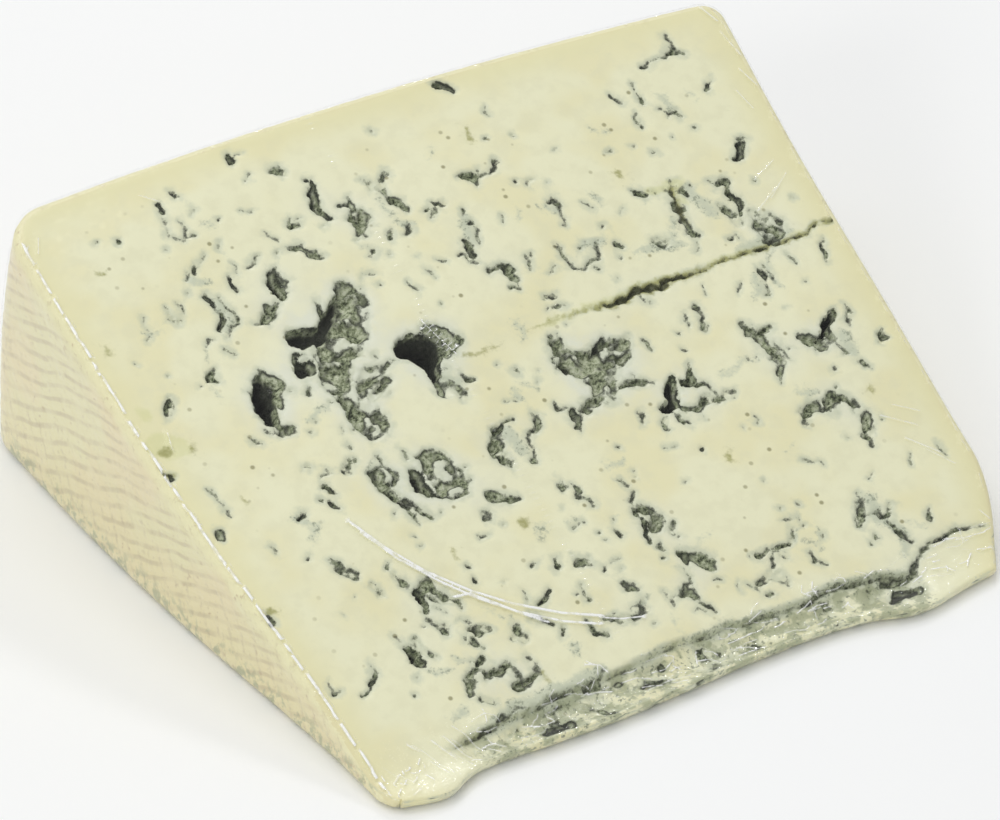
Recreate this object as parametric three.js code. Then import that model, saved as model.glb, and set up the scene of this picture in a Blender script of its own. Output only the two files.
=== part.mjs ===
// A wedge of blue cheese, cut from a wheel and wrapped tightly in clear film.
//
// The wedge lies on one of its two knife-cut faces with the other one up. The wheel's axis runs
// along X, so the two flat faces of the wheel stand at the left and the right, the rim is at the
// back (+Y) and the thin torn nose is at the front (-Y). Millimetres, +Z up.
import * as THREE from 'three';
import { mergeVertices } from 'three/addons/utils/BufferGeometryUtils.js';

// ---- the wheel and the cut ----------------------------------------------------------------
const wheelRadius = 99; // axis to the crown of the rim
const cutAngle = THREE.MathUtils.degToRad(23.35); // between the two cut faces
const crownRadius = 780; // the rim is gently barrelled along the axis
const crownPeak = -20; // where along the axis the barrel is widest
const rimBulge = 0.5; // how far the rim swells between the two cuts

// ---- the two flat faces of the wheel, as half widths that grow from the nose to the rim -----
const leftAtNose = 49;
const leftSpread = 5.9; // extra half width at the rim on the left
const leftSpreadReach = 45; // most of the left spread is reached this far from the axis
const rightAtNose = 49.2;
const rightSpread = 4.6;
const rightSpreadPower = 1.7;
const faceSag = 0.5; // the flat faces are a little hollow between the two cuts
const bulgeStart = 60; // the bulge of the rim and the hollow of the faces fade in
const bulgeFade = 35; // over these distances from the axis
const sagFade = 40;

// ---- rounded corners -------------------------------------------------------------------------
const rimCornerLeft = 6.5; // radius of the wheel's edge at the left
const rimCornerRight = 3.6;
const noseCornerLeft = { inset: 4, reach: 5.8, shift: 0.6 };
const noseCornerRight = { inset: 8.9, reach: 20, shift: 0 };
const cornerPower = 1.7;
const edgeSoftness = 0.9; // the film rounds the knife edges by this much
const thinShare = 0.35; // but by no more than this share of the thickness
const easing = 0.3; // where the middle ring of a rounded edge lies

// ---- the torn nose -------------------------------------------------------------------------------
const noseSetback = 2.6; // the tip is worn back from the wheel's axis
const noseWave = { height: 0.5, length: 9 };
const noseLip = 1.7; // thickness that the tip keeps
const noseLipReach = 7; // the lip fades into the cut face over this length
const noseToes = [
  { at: -43.5, forward: 2.7, width: 6 },
  { at: 36.5, forward: 1.9, width: 7 },
];
const ledge = { from: -38, to: 45, line: 9.8, wave: 1.2, waveLength: 13, drop: 1, slope: 1.6 };
const ledgeEnds = 4; // the ledge fades out over this length at both ends
const ledgeFoot = 3; // and over this distance in front of the tip

// ---- unevenness of the upper cut -------------------------------------------------------------
const cutWaviness = 0.35;
const cutWaveLength = 46;

// ---- mesh fineness -----------------------------------------------------------------------------
const columns = 44;
const noseRows = 13;
const middleRows = 15;
const rimRows = 8;
const noseBand = 14; // length of the finely divided band at the nose
const rimBand = 9;
const wallRings = 8;

function smooth(x) {
  const t = THREE.MathUtils.clamp(x, 0, 1);
  return t * t * (3 - 2 * t);
}

// The corner of an outline, as the amount cut off at a distance from the outline's end.
function roundInset(radius, distance) {
  const short = THREE.MathUtils.clamp(radius - distance, 0, radius);
  return radius - Math.sqrt(radius * radius - short * short);
}

function taperInset({ inset, reach, shift }, distance) {
  return inset * Math.max(0, 1 - (distance + shift) / reach) ** cornerPower;
}

// Distance from the axis of the wheel to the nose and to the rim, at a place along the axis.
function noseLine(x) {
  const toes = noseToes.map((toe) => toe.forward * Math.exp(-(((x - toe.at) / toe.width) ** 2)));
  const wave = noseWave.height * Math.sin(x / noseWave.length);
  return noseSetback + wave - toes.reduce((sum, toe) => sum + toe, 0);
}

function rimLine(x) {
  return wheelRadius - (x - crownPeak) ** 2 / (2 * crownRadius);
}

// Half widths at a distance from the axis.
function leftSide(radius) {
  const spread = leftSpread * (1 - Math.exp(-((radius / leftSpreadReach) ** 2)));
  const atRim = roundInset(rimCornerLeft, rimLine(-leftAtNose) - radius);
  return -(leftAtNose + spread - atRim - taperInset(noseCornerLeft, radius));
}

function rightSide(radius) {
  const spread = rightSpread * Math.max(0, radius / wheelRadius) ** rightSpreadPower;
  const atRim = roundInset(rimCornerRight, rimLine(rightAtNose) - radius);
  return rightAtNose + spread - atRim - taperInset(noseCornerRight, radius);
}

// A place on the cut, across 0..1 from left to right and along 0..1 from the nose to the rim.
function cutPlace(across, along) {
  const nominal = THREE.MathUtils.lerp(-leftAtNose, rightAtNose, across);
  const radius = THREE.MathUtils.lerp(noseLine(nominal), rimLine(nominal), along);
  const x = THREE.MathUtils.lerp(leftSide(radius), rightSide(radius), across);
  return new THREE.Vector2(x, radius);
}

// Rows from the nose to the rim, close together where the outline turns.
function rowFractions() {
  const rows = [];
  for (let i = 0; i < noseRows; i += 1) rows.push((i / noseRows) * noseBand);
  const rimStart = wheelRadius - rimBand;
  for (let i = 0; i < middleRows; i += 1) {
    rows.push(THREE.MathUtils.lerp(noseBand, rimStart, i / middleRows));
  }
  for (let i = 0; i <= rimRows; i += 1) {
    const turn = (i / rimRows) * (Math.PI / 2);
    rows.push(rimStart + rimBand * Math.sin(turn));
  }
  return rows.map((row) => row / wheelRadius);
}

// What the torn nose, its ledge and the waviness of the cut add above the plane of the cut.
function cutRelief(x, radius) {
  const lip = noseLip * (1 - smooth(radius / noseLipReach));
  const edge = ledge.line + ledge.wave * Math.sin(x / ledge.waveLength);
  const inside = smooth((x - ledge.from) / ledgeEnds) * smooth((ledge.to - x) / ledgeEnds);
  const deep = smooth((radius - ledgeFoot) / ledgeFoot);
  const step = ledge.drop * inside * deep * smooth((edge - radius) / ledge.slope);
  const calm = smooth((radius - noseBand) / noseBand) * smooth((wheelRadius - radius) / noseBand);
  const wave = Math.sin((4 * x) / cutWaveLength + 1) * Math.sin((5 * radius) / cutWaveLength);
  return lip - step + cutWaviness * calm * wave;
}

// A point of the body, at a place on the cut and a fraction of the way up from cut to cut.
function bodyPoint(place, rise) {
  const angle = cutAngle * rise;
  const lift = cutRelief(place.x, place.y) * rise;
  return new THREE.Vector3(
    place.x,
    place.y * Math.cos(angle) - lift * Math.sin(angle),
    place.y * Math.sin(angle) + lift * Math.cos(angle),
  );
}

// The closed outline of the cut as a list of grid places, anticlockwise seen from above.
function outlinePlaces(rows) {
  const places = [];
  const lastRow = rows.length - 1;
  for (let c = 0; c < columns; c += 1) places.push(cutPlace(c / columns, rows[0]));
  for (let r = 0; r < lastRow; r += 1) places.push(cutPlace(1, rows[r]));
  for (let c = columns; c > 0; c -= 1) places.push(cutPlace(c / columns, rows[lastRow]));
  for (let r = lastRow; r > 0; r -= 1) places.push(cutPlace(0, rows[r]));
  return places;
}

// Each outline place with its inward direction and the thickness of the wedge there.
function outlineStations(rows) {
  const places = outlinePlaces(rows);
  return places.map((place, i) => {
    const before = places[(i + places.length - 1) % places.length];
    const after = places[(i + 1) % places.length];
    const run = after.clone().sub(before).normalize();
    const inward = new THREE.Vector2(-run.y, run.x);
    const thickness = bodyPoint(place, 1).distanceTo(new THREE.Vector3(place.x, place.y, 0));
    const soft = Math.min(edgeSoftness, thinShare * thickness);
    return { place, inward, thickness, soft };
  });
}

// One ring round the wall. Heights near 0 and 1 are drawn in to soften the knife edges.
function wallRing(stations, level) {
  return stations.map(({ place, inward, thickness, soft }) => {
    const share = soft / thickness;
    const steps = [0, easing * share, share];
    const insets = [soft, easing * soft, 0];
    const last = wallRings;
    let rise = share + (1 - 2 * share) * ((level - 2) / (last - 4));
    let inset = 0;
    if (level <= 2) {
      rise = steps[level];
      inset = insets[level];
    } else if (level >= last - 2) {
      rise = 1 - steps[last - level];
      inset = insets[last - level];
    }
    const swell = Math.sin(Math.PI * rise);
    const atRim = smooth((place.y - bulgeStart) / bulgeFade) * Math.max(0, -inward.y);
    const atFace = Math.abs(inward.x) * smooth(place.y / sagFade);
    const out = rimBulge * swell * atRim - faceSag * swell * atFace;
    const moved = place.clone().addScaledVector(inward, inset - out);
    return bodyPoint(moved, rise);
  });
}

function pushTriangle(list, a, b, c) {
  list.push(a.x, a.y, a.z, b.x, b.y, b.z, c.x, c.y, c.z);
}

function wedgeGeometry() {
  const rows = rowFractions();
  const stations = outlineStations(rows);
  const rings = [];
  for (let level = 0; level <= wallRings; level += 1) rings.push(wallRing(stations, level));
  const triangles = [];

  // The wall: nose, right face, rim and left face.
  for (let level = 0; level < wallRings; level += 1) {
    for (let i = 0; i < stations.length; i += 1) {
      const next = (i + 1) % stations.length;
      const [low, high] = [rings[level], rings[level + 1]];
      pushTriangle(triangles, low[i], low[next], high[next]);
      pushTriangle(triangles, low[i], high[next], high[i]);
    }
  }

  // The lower cut is truly flat, and is filled straight from its outline.
  const floor = rings[0];
  const floorOutline = floor.map((point) => new THREE.Vector2(point.x, point.y));
  THREE.ShapeUtils.triangulateShape(floorOutline, []).forEach(([a, b, c]) => {
    pushTriangle(triangles, floor[a], floor[c], floor[b]);
  });

  // The upper cut is a grid whose border is the top ring.
  const top = rings[wallRings];
  const lastRow = rows.length - 1;
  const topPoint = (c, r) => {
    if (r === 0 && c < columns) return top[c];
    if (c === columns && r < lastRow) return top[columns + r];
    if (r === lastRow && c > 0) return top[columns + lastRow + (columns - c)];
    if (c === 0) return top[2 * columns + lastRow + (lastRow - r)];
    return bodyPoint(cutPlace(c / columns, rows[r]), 1);
  };
  for (let r = 0; r < lastRow; r += 1) {
    for (let c = 0; c < columns; c += 1) {
      const [a, b] = [topPoint(c, r), topPoint(c + 1, r)];
      const [d, e] = [topPoint(c, r + 1), topPoint(c + 1, r + 1)];
      pushTriangle(triangles, a, b, e);
      pushTriangle(triangles, a, e, d);
    }
  }

  const loose = new THREE.BufferGeometry();
  loose.setAttribute('position', new THREE.Float32BufferAttribute(triangles, 3));
  const closed = mergeVertices(loose, 1e-5);
  closed.computeBoundingBox();
  const middle = closed.boundingBox.getCenter(new THREE.Vector3());
  closed.translate(-middle.x, -middle.y, 0);
  closed.computeVertexNormals();
  return closed;
}

const paste = new THREE.MeshStandardMaterial({ color: 0xebe6cb, roughness: 0.35, metalness: 0 });
const wedge = new THREE.Mesh(wedgeGeometry(), paste);
wedge.name = 'blue_cheese_wedge';

const part = new THREE.Group();
part.name = 'wrapped_blue_cheese';
part.add(wedge);

export default part;
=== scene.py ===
# %% [markdown]
# # A wedge of blue cheese in clear film
# The wedge was cut from a wheel with two knife cuts that meet at the wheel's axis, and it lies
# on one of them. So it shows three kinds of surface: the moist cut paste, full of openings that
# blue mould has grown in, the two flat faces of the wheel, printed by the draining mat, and the
# rim at the back. A clear film is pulled tight around all of it.
# The CAD frame holds the outer shape of the wrapped wedge. Here the cheese and the film are made
# as two meshes that fill that same shape.

# %% The fixed frame
import math

import bpy
import numpy as np
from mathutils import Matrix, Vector, geometry


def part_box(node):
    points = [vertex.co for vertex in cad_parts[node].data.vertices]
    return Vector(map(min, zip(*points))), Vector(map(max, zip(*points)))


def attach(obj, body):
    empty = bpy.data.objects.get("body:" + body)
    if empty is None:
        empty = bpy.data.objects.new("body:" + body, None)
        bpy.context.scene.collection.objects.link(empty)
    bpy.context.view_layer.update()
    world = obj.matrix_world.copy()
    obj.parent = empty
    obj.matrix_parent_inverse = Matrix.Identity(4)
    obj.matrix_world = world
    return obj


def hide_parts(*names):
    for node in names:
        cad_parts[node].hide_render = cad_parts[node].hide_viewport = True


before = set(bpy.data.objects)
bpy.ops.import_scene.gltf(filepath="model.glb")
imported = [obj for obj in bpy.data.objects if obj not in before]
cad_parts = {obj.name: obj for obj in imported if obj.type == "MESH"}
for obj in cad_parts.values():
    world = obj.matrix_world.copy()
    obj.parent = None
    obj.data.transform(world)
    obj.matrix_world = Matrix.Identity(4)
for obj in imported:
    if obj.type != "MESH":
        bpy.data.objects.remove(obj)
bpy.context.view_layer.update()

MM = 0.001
WEDGE = "blue_cheese_wedge"
box_low, box_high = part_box(WEDGE)
print("CAD box of the wedge, mm:", [round(v / MM, 1) for v in (*box_low, *box_high)])

# %% [markdown]
# ## The shape of the wedge
# A wedge of a wheel is the outline of its cut face, swung around the wheel's axis. The outline
# could be drawn point by point, but a few sizes say it better: the radius of the wheel, how its
# flat faces spread towards the rim, and how round each corner is. The same sizes made the CAD
# solid, so both shapes agree. A place on the cut is given by x, along the wheel's axis, and by
# its distance from that axis. All of this is in millimetres.

# %% Driving sizes of the wheel and the cut
WHEEL_RADIUS = 99.0
CUT_ANGLE = math.radians(23.35)
CROWN_RADIUS = 780.0
CROWN_PEAK = -20.0
RIM_BULGE = 0.5
FACE_SAG = 0.5
LEFT_AT_NOSE, LEFT_SPREAD, LEFT_REACH = 49.0, 5.9, 45.0
RIGHT_AT_NOSE, RIGHT_SPREAD, RIGHT_POWER = 49.2, 4.6, 1.7
RIM_CORNER_LEFT, RIM_CORNER_RIGHT = 6.5, 3.6
NOSE_CORNER_LEFT, NOSE_CORNER_RIGHT = (4.0, 5.8), (8.9, 20.0)
LEFT_CORNER_SHIFT, CORNER_POWER = 0.6, 1.7
NOSE_SETBACK, NOSE_LIP, NOSE_LIP_REACH = 2.6, 1.7, 7.0
NOSE_WAVE, NOSE_WAVE_LENGTH = 0.5, 9.0
NOSE_TOES = [(-43.5, 2.7, 6.0), (36.5, 1.9, 7.0)]
CUT_WAVE, CUT_WAVE_LENGTH, NOSE_BAND = 0.35, 46.0, 14.0
STATION_SPACING, SAMPLES_PER_SIDE = 0.6, 900


def smooth(x):
    t = np.clip(x, 0.0, 1.0)
    return t * t * (3.0 - 2.0 * t)


def round_inset(radius, distance):
    short = np.clip(radius - distance, 0.0, radius)
    return radius - np.sqrt(radius * radius - short * short)


def taper_inset(corner, distance):
    inset, reach = corner
    return inset * np.maximum(0.0, 1.0 - distance / reach) ** CORNER_POWER


def nose_line(x):
    toes = sum(forward * np.exp(-(((x - at) / width) ** 2)) for at, forward, width in NOSE_TOES)
    return NOSE_SETBACK + NOSE_WAVE * np.sin(x / NOSE_WAVE_LENGTH) - toes


def rim_mould_and_shade(x):
    return WHEEL_RADIUS - (x - CROWN_PEAK) ** 2 / (2.0 * CROWN_RADIUS)


def left_side(radius):
    spread = LEFT_SPREAD * (1.0 - np.exp(-((radius / LEFT_REACH) ** 2)))
    at_rim = round_inset(RIM_CORNER_LEFT, rim_mould_and_shade(-LEFT_AT_NOSE) - radius)
    return -(LEFT_AT_NOSE + spread - at_rim - taper_inset(NOSE_CORNER_LEFT, radius + LEFT_CORNER_SHIFT))


def right_side(radius):
    spread = RIGHT_SPREAD * np.maximum(0.0, radius / WHEEL_RADIUS) ** RIGHT_POWER
    at_rim = round_inset(RIM_CORNER_RIGHT, rim_mould_and_shade(RIGHT_AT_NOSE) - radius)
    return RIGHT_AT_NOSE + spread - at_rim - taper_inset(NOSE_CORNER_RIGHT, radius)


def cut_place(across, along):
    """A place on the cut, from 0 to 1 across it and from 0 at the nose to 1 at the rim."""
    nominal = -LEFT_AT_NOSE + (LEFT_AT_NOSE + RIGHT_AT_NOSE) * across
    radius = nose_line(nominal) + (rim_mould_and_shade(nominal) - nose_line(nominal)) * along
    x = left_side(radius) + (right_side(radius) - left_side(radius)) * across
    return np.stack([x, radius], axis=-1)


def cut_relief(x, radius):
    """How far the wrapped cut stands above its plane: a lip at the tip, and a slow wave."""
    lip = NOSE_LIP * (1.0 - smooth(radius / NOSE_LIP_REACH))
    calm = smooth((radius - NOSE_BAND) / NOSE_BAND) * smooth((WHEEL_RADIUS - radius) / NOSE_BAND)
    wave = np.sin(4.0 * x / CUT_WAVE_LENGTH + 1.0) * np.sin(5.0 * radius / CUT_WAVE_LENGTH)
    return lip + CUT_WAVE * calm * wave


def body_point(x, radius, rise, lift):
    """A point of the body, rise being its share of the way from the lower to the upper cut."""
    angle = CUT_ANGLE * rise
    return np.stack([
        x,
        radius * np.cos(angle) - lift * np.sin(angle),
        radius * np.sin(angle) + lift * np.cos(angle),
    ], axis=-1)


def outline(spacing):
    """The outline of the cut, anticlockwise and evenly spaced, with its inward directions."""
    t = np.linspace(0.0, 1.0, SAMPLES_PER_SIDE, endpoint=False)
    one, zero = np.ones_like(t), np.zeros_like(t)
    dense = np.concatenate([
        cut_place(t, zero), cut_place(one, t), cut_place(1.0 - t, one), cut_place(zero, 1.0 - t),
    ])
    closed = np.vstack([dense, dense[:1]])
    run = np.concatenate([[0.0], np.cumsum(np.hypot(*np.diff(closed, axis=0).T))])
    count = int(round(run[-1] / spacing))
    wanted = np.arange(count) * run[-1] / count
    points = np.stack([np.interp(wanted, run, closed[:, k]) for k in (0, 1)], axis=-1)
    tangent = np.roll(points, -1, axis=0) - np.roll(points, 1, axis=0)
    tangent /= np.linalg.norm(tangent, axis=1)[:, None]
    inward = np.stack([-tangent[:, 1], tangent[:, 0]], axis=-1)
    return points, inward, wanted, run[-1]


places, _, _, around = outline(STATION_SPACING)
print("the outline of the cut is", round(around, 1), "mm around,", len(places), "places")

# %% [markdown]
# ## Noise for uneven edges
# Torn cheese has no straight line in it. A lattice of random values, blended smoothly between
# its points, gives a noise that can push an edge about or roughen a floor. It is written here so
# that the mesh itself is uneven, not only its colour, and it is seeded so that each run agrees.

# %% Value noise
HASH_X, HASH_Y, HASH_SEED = 374761393, 668265263, 974634777
HASH_FIRST, HASH_SECOND, WORD, HALF_WORD = 1274126177, 2246822519, 0xFFFFFFFF, 0xFFFF


def lattice(ix, iy, seed):
    """A random value from -1 to 1 for each point of a square lattice."""
    h = (ix * HASH_X + iy * HASH_Y + seed * HASH_SEED) & WORD
    h = ((h ^ (h >> 13)) * HASH_FIRST) & WORD
    h = ((h ^ (h >> 16)) * HASH_SECOND) & WORD
    return ((h ^ (h >> 15)) & HALF_WORD) / (HALF_WORD / 2) - 1.0


def noise(x, y, size, seed):
    """Smooth noise from -1 to 1 whose bumps are about one size across."""
    x, y = np.asarray(x) / size, np.asarray(y) / size
    ix, iy = np.floor(x).astype(np.int64), np.floor(y).astype(np.int64)
    fx, fy = smooth(x - ix), smooth(y - iy)
    total = 0.0
    for dx in (0, 1):
        for dy in (0, 1):
            weight = (fx if dx else 1 - fx) * (fy if dy else 1 - fy)
            total = total + weight * lattice(ix + dx, iy + dy, seed)
    return total


def layered(base, x, y, seed, *layers):
    """A base with noise of several sizes on it. Each layer is an amount and a size."""
    for k, (amount, size) in enumerate(layers):
        base = base + amount * noise(x, y, size, seed + k)
    return base


sample_places = np.array([1.0, 7.0, 30.0])
print("noise at three places:", np.round(noise(sample_places, np.zeros(3), 2.0, 5), 2))

# %% [markdown]
# ## Where the paste opened
# The curd was packed loosely, so the wheel is full of gaps, and a set of needles let air in to
# them. Mould lines every gap that has air. A real cut shows gaps of very different kinds: deep
# pits, wide torn patches with a grey floor, thin slits around a lump of curd, and the long track
# of one needle. They could come from a texture, but then each wedge looks like wallpaper. Here
# the main ones are strokes: a few places with a half width, on a sketch of the cut 102 mm long.
# Each of the next cells adds one part of the sketch.

# %% The sketch of the upper cut
SKETCH_LENGTH = 101.9
sketch_scale = WHEEL_RADIUS / SKETCH_LENGTH
OPENINGS = {kind: [] for kind in ("cave", "pit", "slope", "torn", "slit", "track")}


def opening_count():
    return sum(len(chains) for chains in OPENINGS.values())


print("one millimetre of the sketch is", round(sketch_scale, 3), "mm of the wheel")

# %% [markdown]
# ### The big pits and the great torn cluster
# The largest hole of this cut is a pit that the knife opened from the side, so it has a steep dark
# wall at its left and a sloping one at its right. Beside it a whole nest of gaps has torn into one.
# One wide stroke would be a puddle. Several strokes of different kinds, laid over each other, keep
# the dark cracks between the torn floors.

# %% The big pits and the great torn cluster
OPENINGS["cave"] += [
    [(-14.2, 62.7, 1.8), (-12.8, 62.3, 2.5), (-11.6, 62.0, 2.4), (-12.3, 60.0, 1.9), (-12.5, 58.3, 1.2)],
    [(-35.0, 66.0, 1.0), (-35.4, 63.6, 1.7), (-36.2, 60.6, 1.1), (-36.5, 58.4, 0.5)],
]
OPENINGS["pit"] += [
    [(-28.0, 70.2, 1.1), (-26.0, 69.4, 1.4), (-23.8, 69.2, 1.3), (-21.2, 71.2, 1.1), (-19.4, 73.0, 0.7)],
    [(-28.6, 67.2, 0.8), (-28.7, 64.9, 1.1)],
]
OPENINGS["slope"] += [
    [(-10.4, 64.2, 0.8), (-8.8, 63.0, 1.5), (-8.2, 61.6, 1.6), (-9.4, 60.2, 1.0)],
    [(-34.4, 66.4, 0.9), (-33.4, 64.0, 1.2), (-34.2, 61.6, 0.9)],
]
OPENINGS["torn"] += [
    [(-12.9, 57.0, 0.8), (-12.2, 55.2, 1.4), (-11.0, 54.2, 0.8)],
    [(-9.2, 56.4, 0.3), (-8.7, 55.4, 0.45)],
    [(-17.6, 74.2, 1.2), (-18.2, 71.0, 1.8), (-19.4, 68.0, 1.9), (-22.0, 67.6, 2.4)],
    [(-24.0, 66.2, 2.8), (-25.2, 63.2, 2.2), (-24.4, 60.2, 2.4), (-24.6, 57.6, 2.3), (-25.0, 55.2, 2.3),
     (-24.4, 53.0, 1.6)],
    [(-21.8, 60.4, 1.3), (-19.6, 61.4, 0.8), (-17.6, 62.0, 0.5)],
    [(-21.0, 64.9, 0.7), (-19.2, 66.2, 0.4)],
    [(-22.2, 58.0, 0.8), (-20.0, 59.0, 0.5), (-19.2, 59.9, 0.3)],
    [(-37.2, 64.8, 0.5), (-37.4, 61.5, 0.5), (-36.6, 57.8, 0.7), (-35.0, 57.6, 0.8)],
]
OPENINGS["slit"] += [
    [(-16.8, 74.9, 0.4), (-16.3, 73.2, 0.45), (-16.4, 71.0, 0.3)],
    [(-22.2, 74.4, 0.2), (-22.0, 72.2, 0.5)],
    [(-29.2, 62.7, 0.3), (-30.4, 61.3, 0.4)],
]
print("openings so far:", opening_count())

# %% [markdown]
# ### Openings that run around lumps of curd
# Where two lumps of curd never knitted together, the gap runs around one of them as a ring or a
# star. The ring is drawn as a chain of thin strokes that leaves the pale lump in the middle alone,
# which is easier to steer than a filled opening with a hole in it.

# %% Openings that run around lumps of curd
OPENINGS["cave"] += [
    [(14.2, 41.5, 0.9), (15.6, 41.8, 1.0), (15.8, 43.8, 1.0), (16.9, 45.3, 0.7)],
]
OPENINGS["pit"] += [
    [(4.3, 53.2, 0.7), (5.0, 52.2, 0.9)],
    [(11.3, 54.8, 0.3), (9.8, 53.4, 0.6), (8.4, 51.4, 0.4)],
    [(2.0, 46.0, 0.4), (1.7, 44.4, 0.6), (1.6, 42.8, 0.2)],
    [(18.2, 44.2, 0.6), (19.8, 43.9, 0.8), (20.4, 45.6, 0.35), (20.9, 47.2, 0.12)],
    [(-22.9, 45.4, 0.6), (-23.0, 43.2, 0.9), (-22.4, 41.6, 0.5)],
    [(-9.2, 46.8, 0.4), (-8.3, 47.4, 0.3)],
    [(-11.0, 43.2, 0.4), (-10.4, 42.2, 0.4)],
]
OPENINGS["torn"] += [
    [(4.9, 57.0, 0.9), (5.0, 55.0, 1.1), (5.2, 53.0, 1.5), (7.0, 52.2, 2.0), (9.6, 51.4, 2.6),
     (12.0, 52.4, 2.2), (14.4, 53.4, 0.7)],
    [(7.6, 49.6, 1.2), (6.8, 47.4, 1.1), (5.0, 46.0, 0.8), (3.2, 45.5, 0.8), (1.9, 44.9, 0.8)],
    [(9.6, 48.4, 0.9), (8.6, 46.6, 0.5), (8.3, 45.2, 0.5)],
    [(16.8, 40.9, 0.6), (18.4, 40.2, 0.6), (20.4, 41.0, 0.7), (22.0, 40.5, 0.6), (24.0, 40.6, 0.3)],
    [(18.4, 39.6, 0.4), (18.1, 38.3, 0.15)],
    [(15.0, 40.2, 0.4), (15.6, 38.8, 0.2)],
    [(13.0, 40.4, 0.5), (12.8, 38.7, 0.2)],
    [(-27.6, 46.6, 0.8), (-27.0, 44.8, 0.8), (-26.8, 43.2, 0.5)],
    [(-20.0, 46.4, 1.4), (-19.6, 44.0, 2.3), (-19.6, 42.0, 2.0)],
    [(-9.4, 47.4, 0.4), (-10.0, 45.8, 0.8), (-10.9, 44.2, 0.6), (-10.8, 42.6, 0.8), (-10.2, 41.2, 0.4)],
]
OPENINGS["slit"] += [
    [(10.2, 47.4, 0.3), (12.2, 46.9, 0.5), (14.2, 45.8, 0.25)],
    [(19.9, 43.0, 0.3), (21.4, 43.4, 0.3), (21.7, 41.6, 0.3)],
    [(-28.4, 47.3, 0.4), (-28.2, 45.2, 0.4), (-27.4, 42.6, 0.4), (-26.3, 40.8, 0.4),
     (-26.0, 38.2, 0.25)],
    [(-28.2, 47.6, 0.25), (-26.3, 47.8, 0.25), (-26.2, 49.6, 0.3)],
    [(-26.0, 47.4, 0.3), (-25.2, 45.4, 0.45), (-26.0, 44.6, 0.3)],
    [(-26.0, 42.2, 0.4), (-24.8, 39.8, 0.4), (-24.0, 38.4, 0.3)],
    [(-21.8, 45.2, 0.35), (-20.3, 47.7, 0.25), (-18.4, 46.4, 0.3), (-17.5, 44.2, 0.3),
     (-16.6, 43.0, 0.25)],
    [(-17.0, 42.8, 0.2), (-17.9, 41.2, 0.35), (-18.0, 40.2, 0.35), (-20.4, 40.1, 0.35),
     (-21.9, 41.0, 0.35)],
    [(-23.0, 49.0, 0.3), (-22.4, 47.6, 0.25)],
    [(-8.0, 47.7, 0.2), (-6.3, 47.9, 0.3)],
    [(-3.3, 47.3, 0.45), (-3.8, 45.8, 0.4), (-4.8, 45.3, 0.2), (-5.7, 44.3, 0.2), (-6.0, 42.6, 0.25),
     (-6.8, 41.1, 0.4)],
]
print("openings so far:", opening_count())

# %% [markdown]
# ### Openings at the upper left
# Towards the rind the paste is denser, and the openings are small: pinpricks, commas and short
# slits that lean the same way, because the curd was pressed as it sank. They are set one by one,
# since a scattered pattern never leans and clusters like this.

# %% Openings at the upper left
OPENINGS["pit"] += [
    [(-22.3, 99.3, 0.4), (-22.4, 98.0, 0.45)],
    [(-35.3, 95.2, 0.25), (-35.2, 94.2, 0.4), (-35.4, 93.5, 0.2)],
    [(-32.4, 96.6, 0.3), (-32.3, 95.6, 0.35), (-31.6, 95.1, 0.12)],
    [(-25.6, 80.3, 0.6), (-26.1, 78.4, 1.0), (-26.2, 76.8, 0.6)],
    [(-31.2, 81.5, 0.3), (-31.5, 80.3, 0.4), (-31.2, 79.3, 0.3)],
    [(-35.4, 79.9, 0.5), (-35.2, 78.4, 0.2)],
    [(-35.0, 76.8, 0.3), (-35.7, 75.7, 0.5), (-36.2, 74.6, 0.3)],
    [(-34.8, 84.9, 0.3), (-35.1, 84.2, 0.3)],
    [(-40.0, 69.5, 0.35), (-40.8, 68.4, 0.7), (-40.7, 67.4, 0.3)],
    [(-47.6, 67.8, 0.15), (-48.4, 66.3, 0.4), (-49.4, 65.1, 0.3)],
    [(-13.8, 91.8, 0.15), (-14.5, 90.0, 0.45), (-15.2, 88.0, 0.75), (-14.8, 86.4, 0.5),
     (-14.2, 85.0, 0.25)],
]
OPENINGS["torn"] += [
    [(-25.0, 80.6, 0.5), (-24.6, 78.8, 0.5), (-25.0, 77.4, 0.3)],
    [(-36.2, 84.4, 0.2), (-36.8, 83.6, 0.3)],
    [(-41.6, 80.3, 0.2), (-41.6, 79.0, 0.3), (-41.0, 77.7, 0.35)],
    [(-27.4, 76.0, 0.3), (-28.8, 75.0, 0.7), (-30.2, 74.0, 0.7)],
    [(-23.6, 83.0, 0.3), (-22.3, 83.2, 0.2), (-20.4, 82.6, 0.25)],
    [(-19.8, 82.3, 0.4), (-19.5, 81.0, 0.6), (-18.4, 80.3, 0.45)],
    [(-19.5, 87.0, 0.3), (-19.4, 85.8, 0.5)],
    [(-17.8, 94.9, 0.5), (-17.0, 94.0, 0.6)],
    [(-10.4, 87.0, 0.3), (-10.3, 85.6, 0.6), (-11.4, 84.2, 0.7), (-10.3, 83.4, 1.5), (-11.0, 82.0, 1.0),
     (-10.7, 80.7, 0.35)],
    [(-11.8, 86.2, 0.4), (-10.6, 86.0, 0.4)],
    [(-3.8, 89.3, 0.3), (-4.4, 87.8, 0.6), (-5.7, 86.5, 0.6), (-5.2, 85.0, 0.5), (-4.0, 83.8, 0.6),
     (-4.0, 82.7, 0.4)],
    [(-7.1, 89.0, 0.3), (-6.8, 87.3, 0.3)],
    [(-0.2, 82.0, 0.4), (0.9, 81.2, 0.5)],
    [(-7.0, 80.0, 0.3), (-7.8, 79.0, 0.4)],
    [(-11.7, 77.7, 0.3), (-11.0, 78.2, 0.3)],
]
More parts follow.
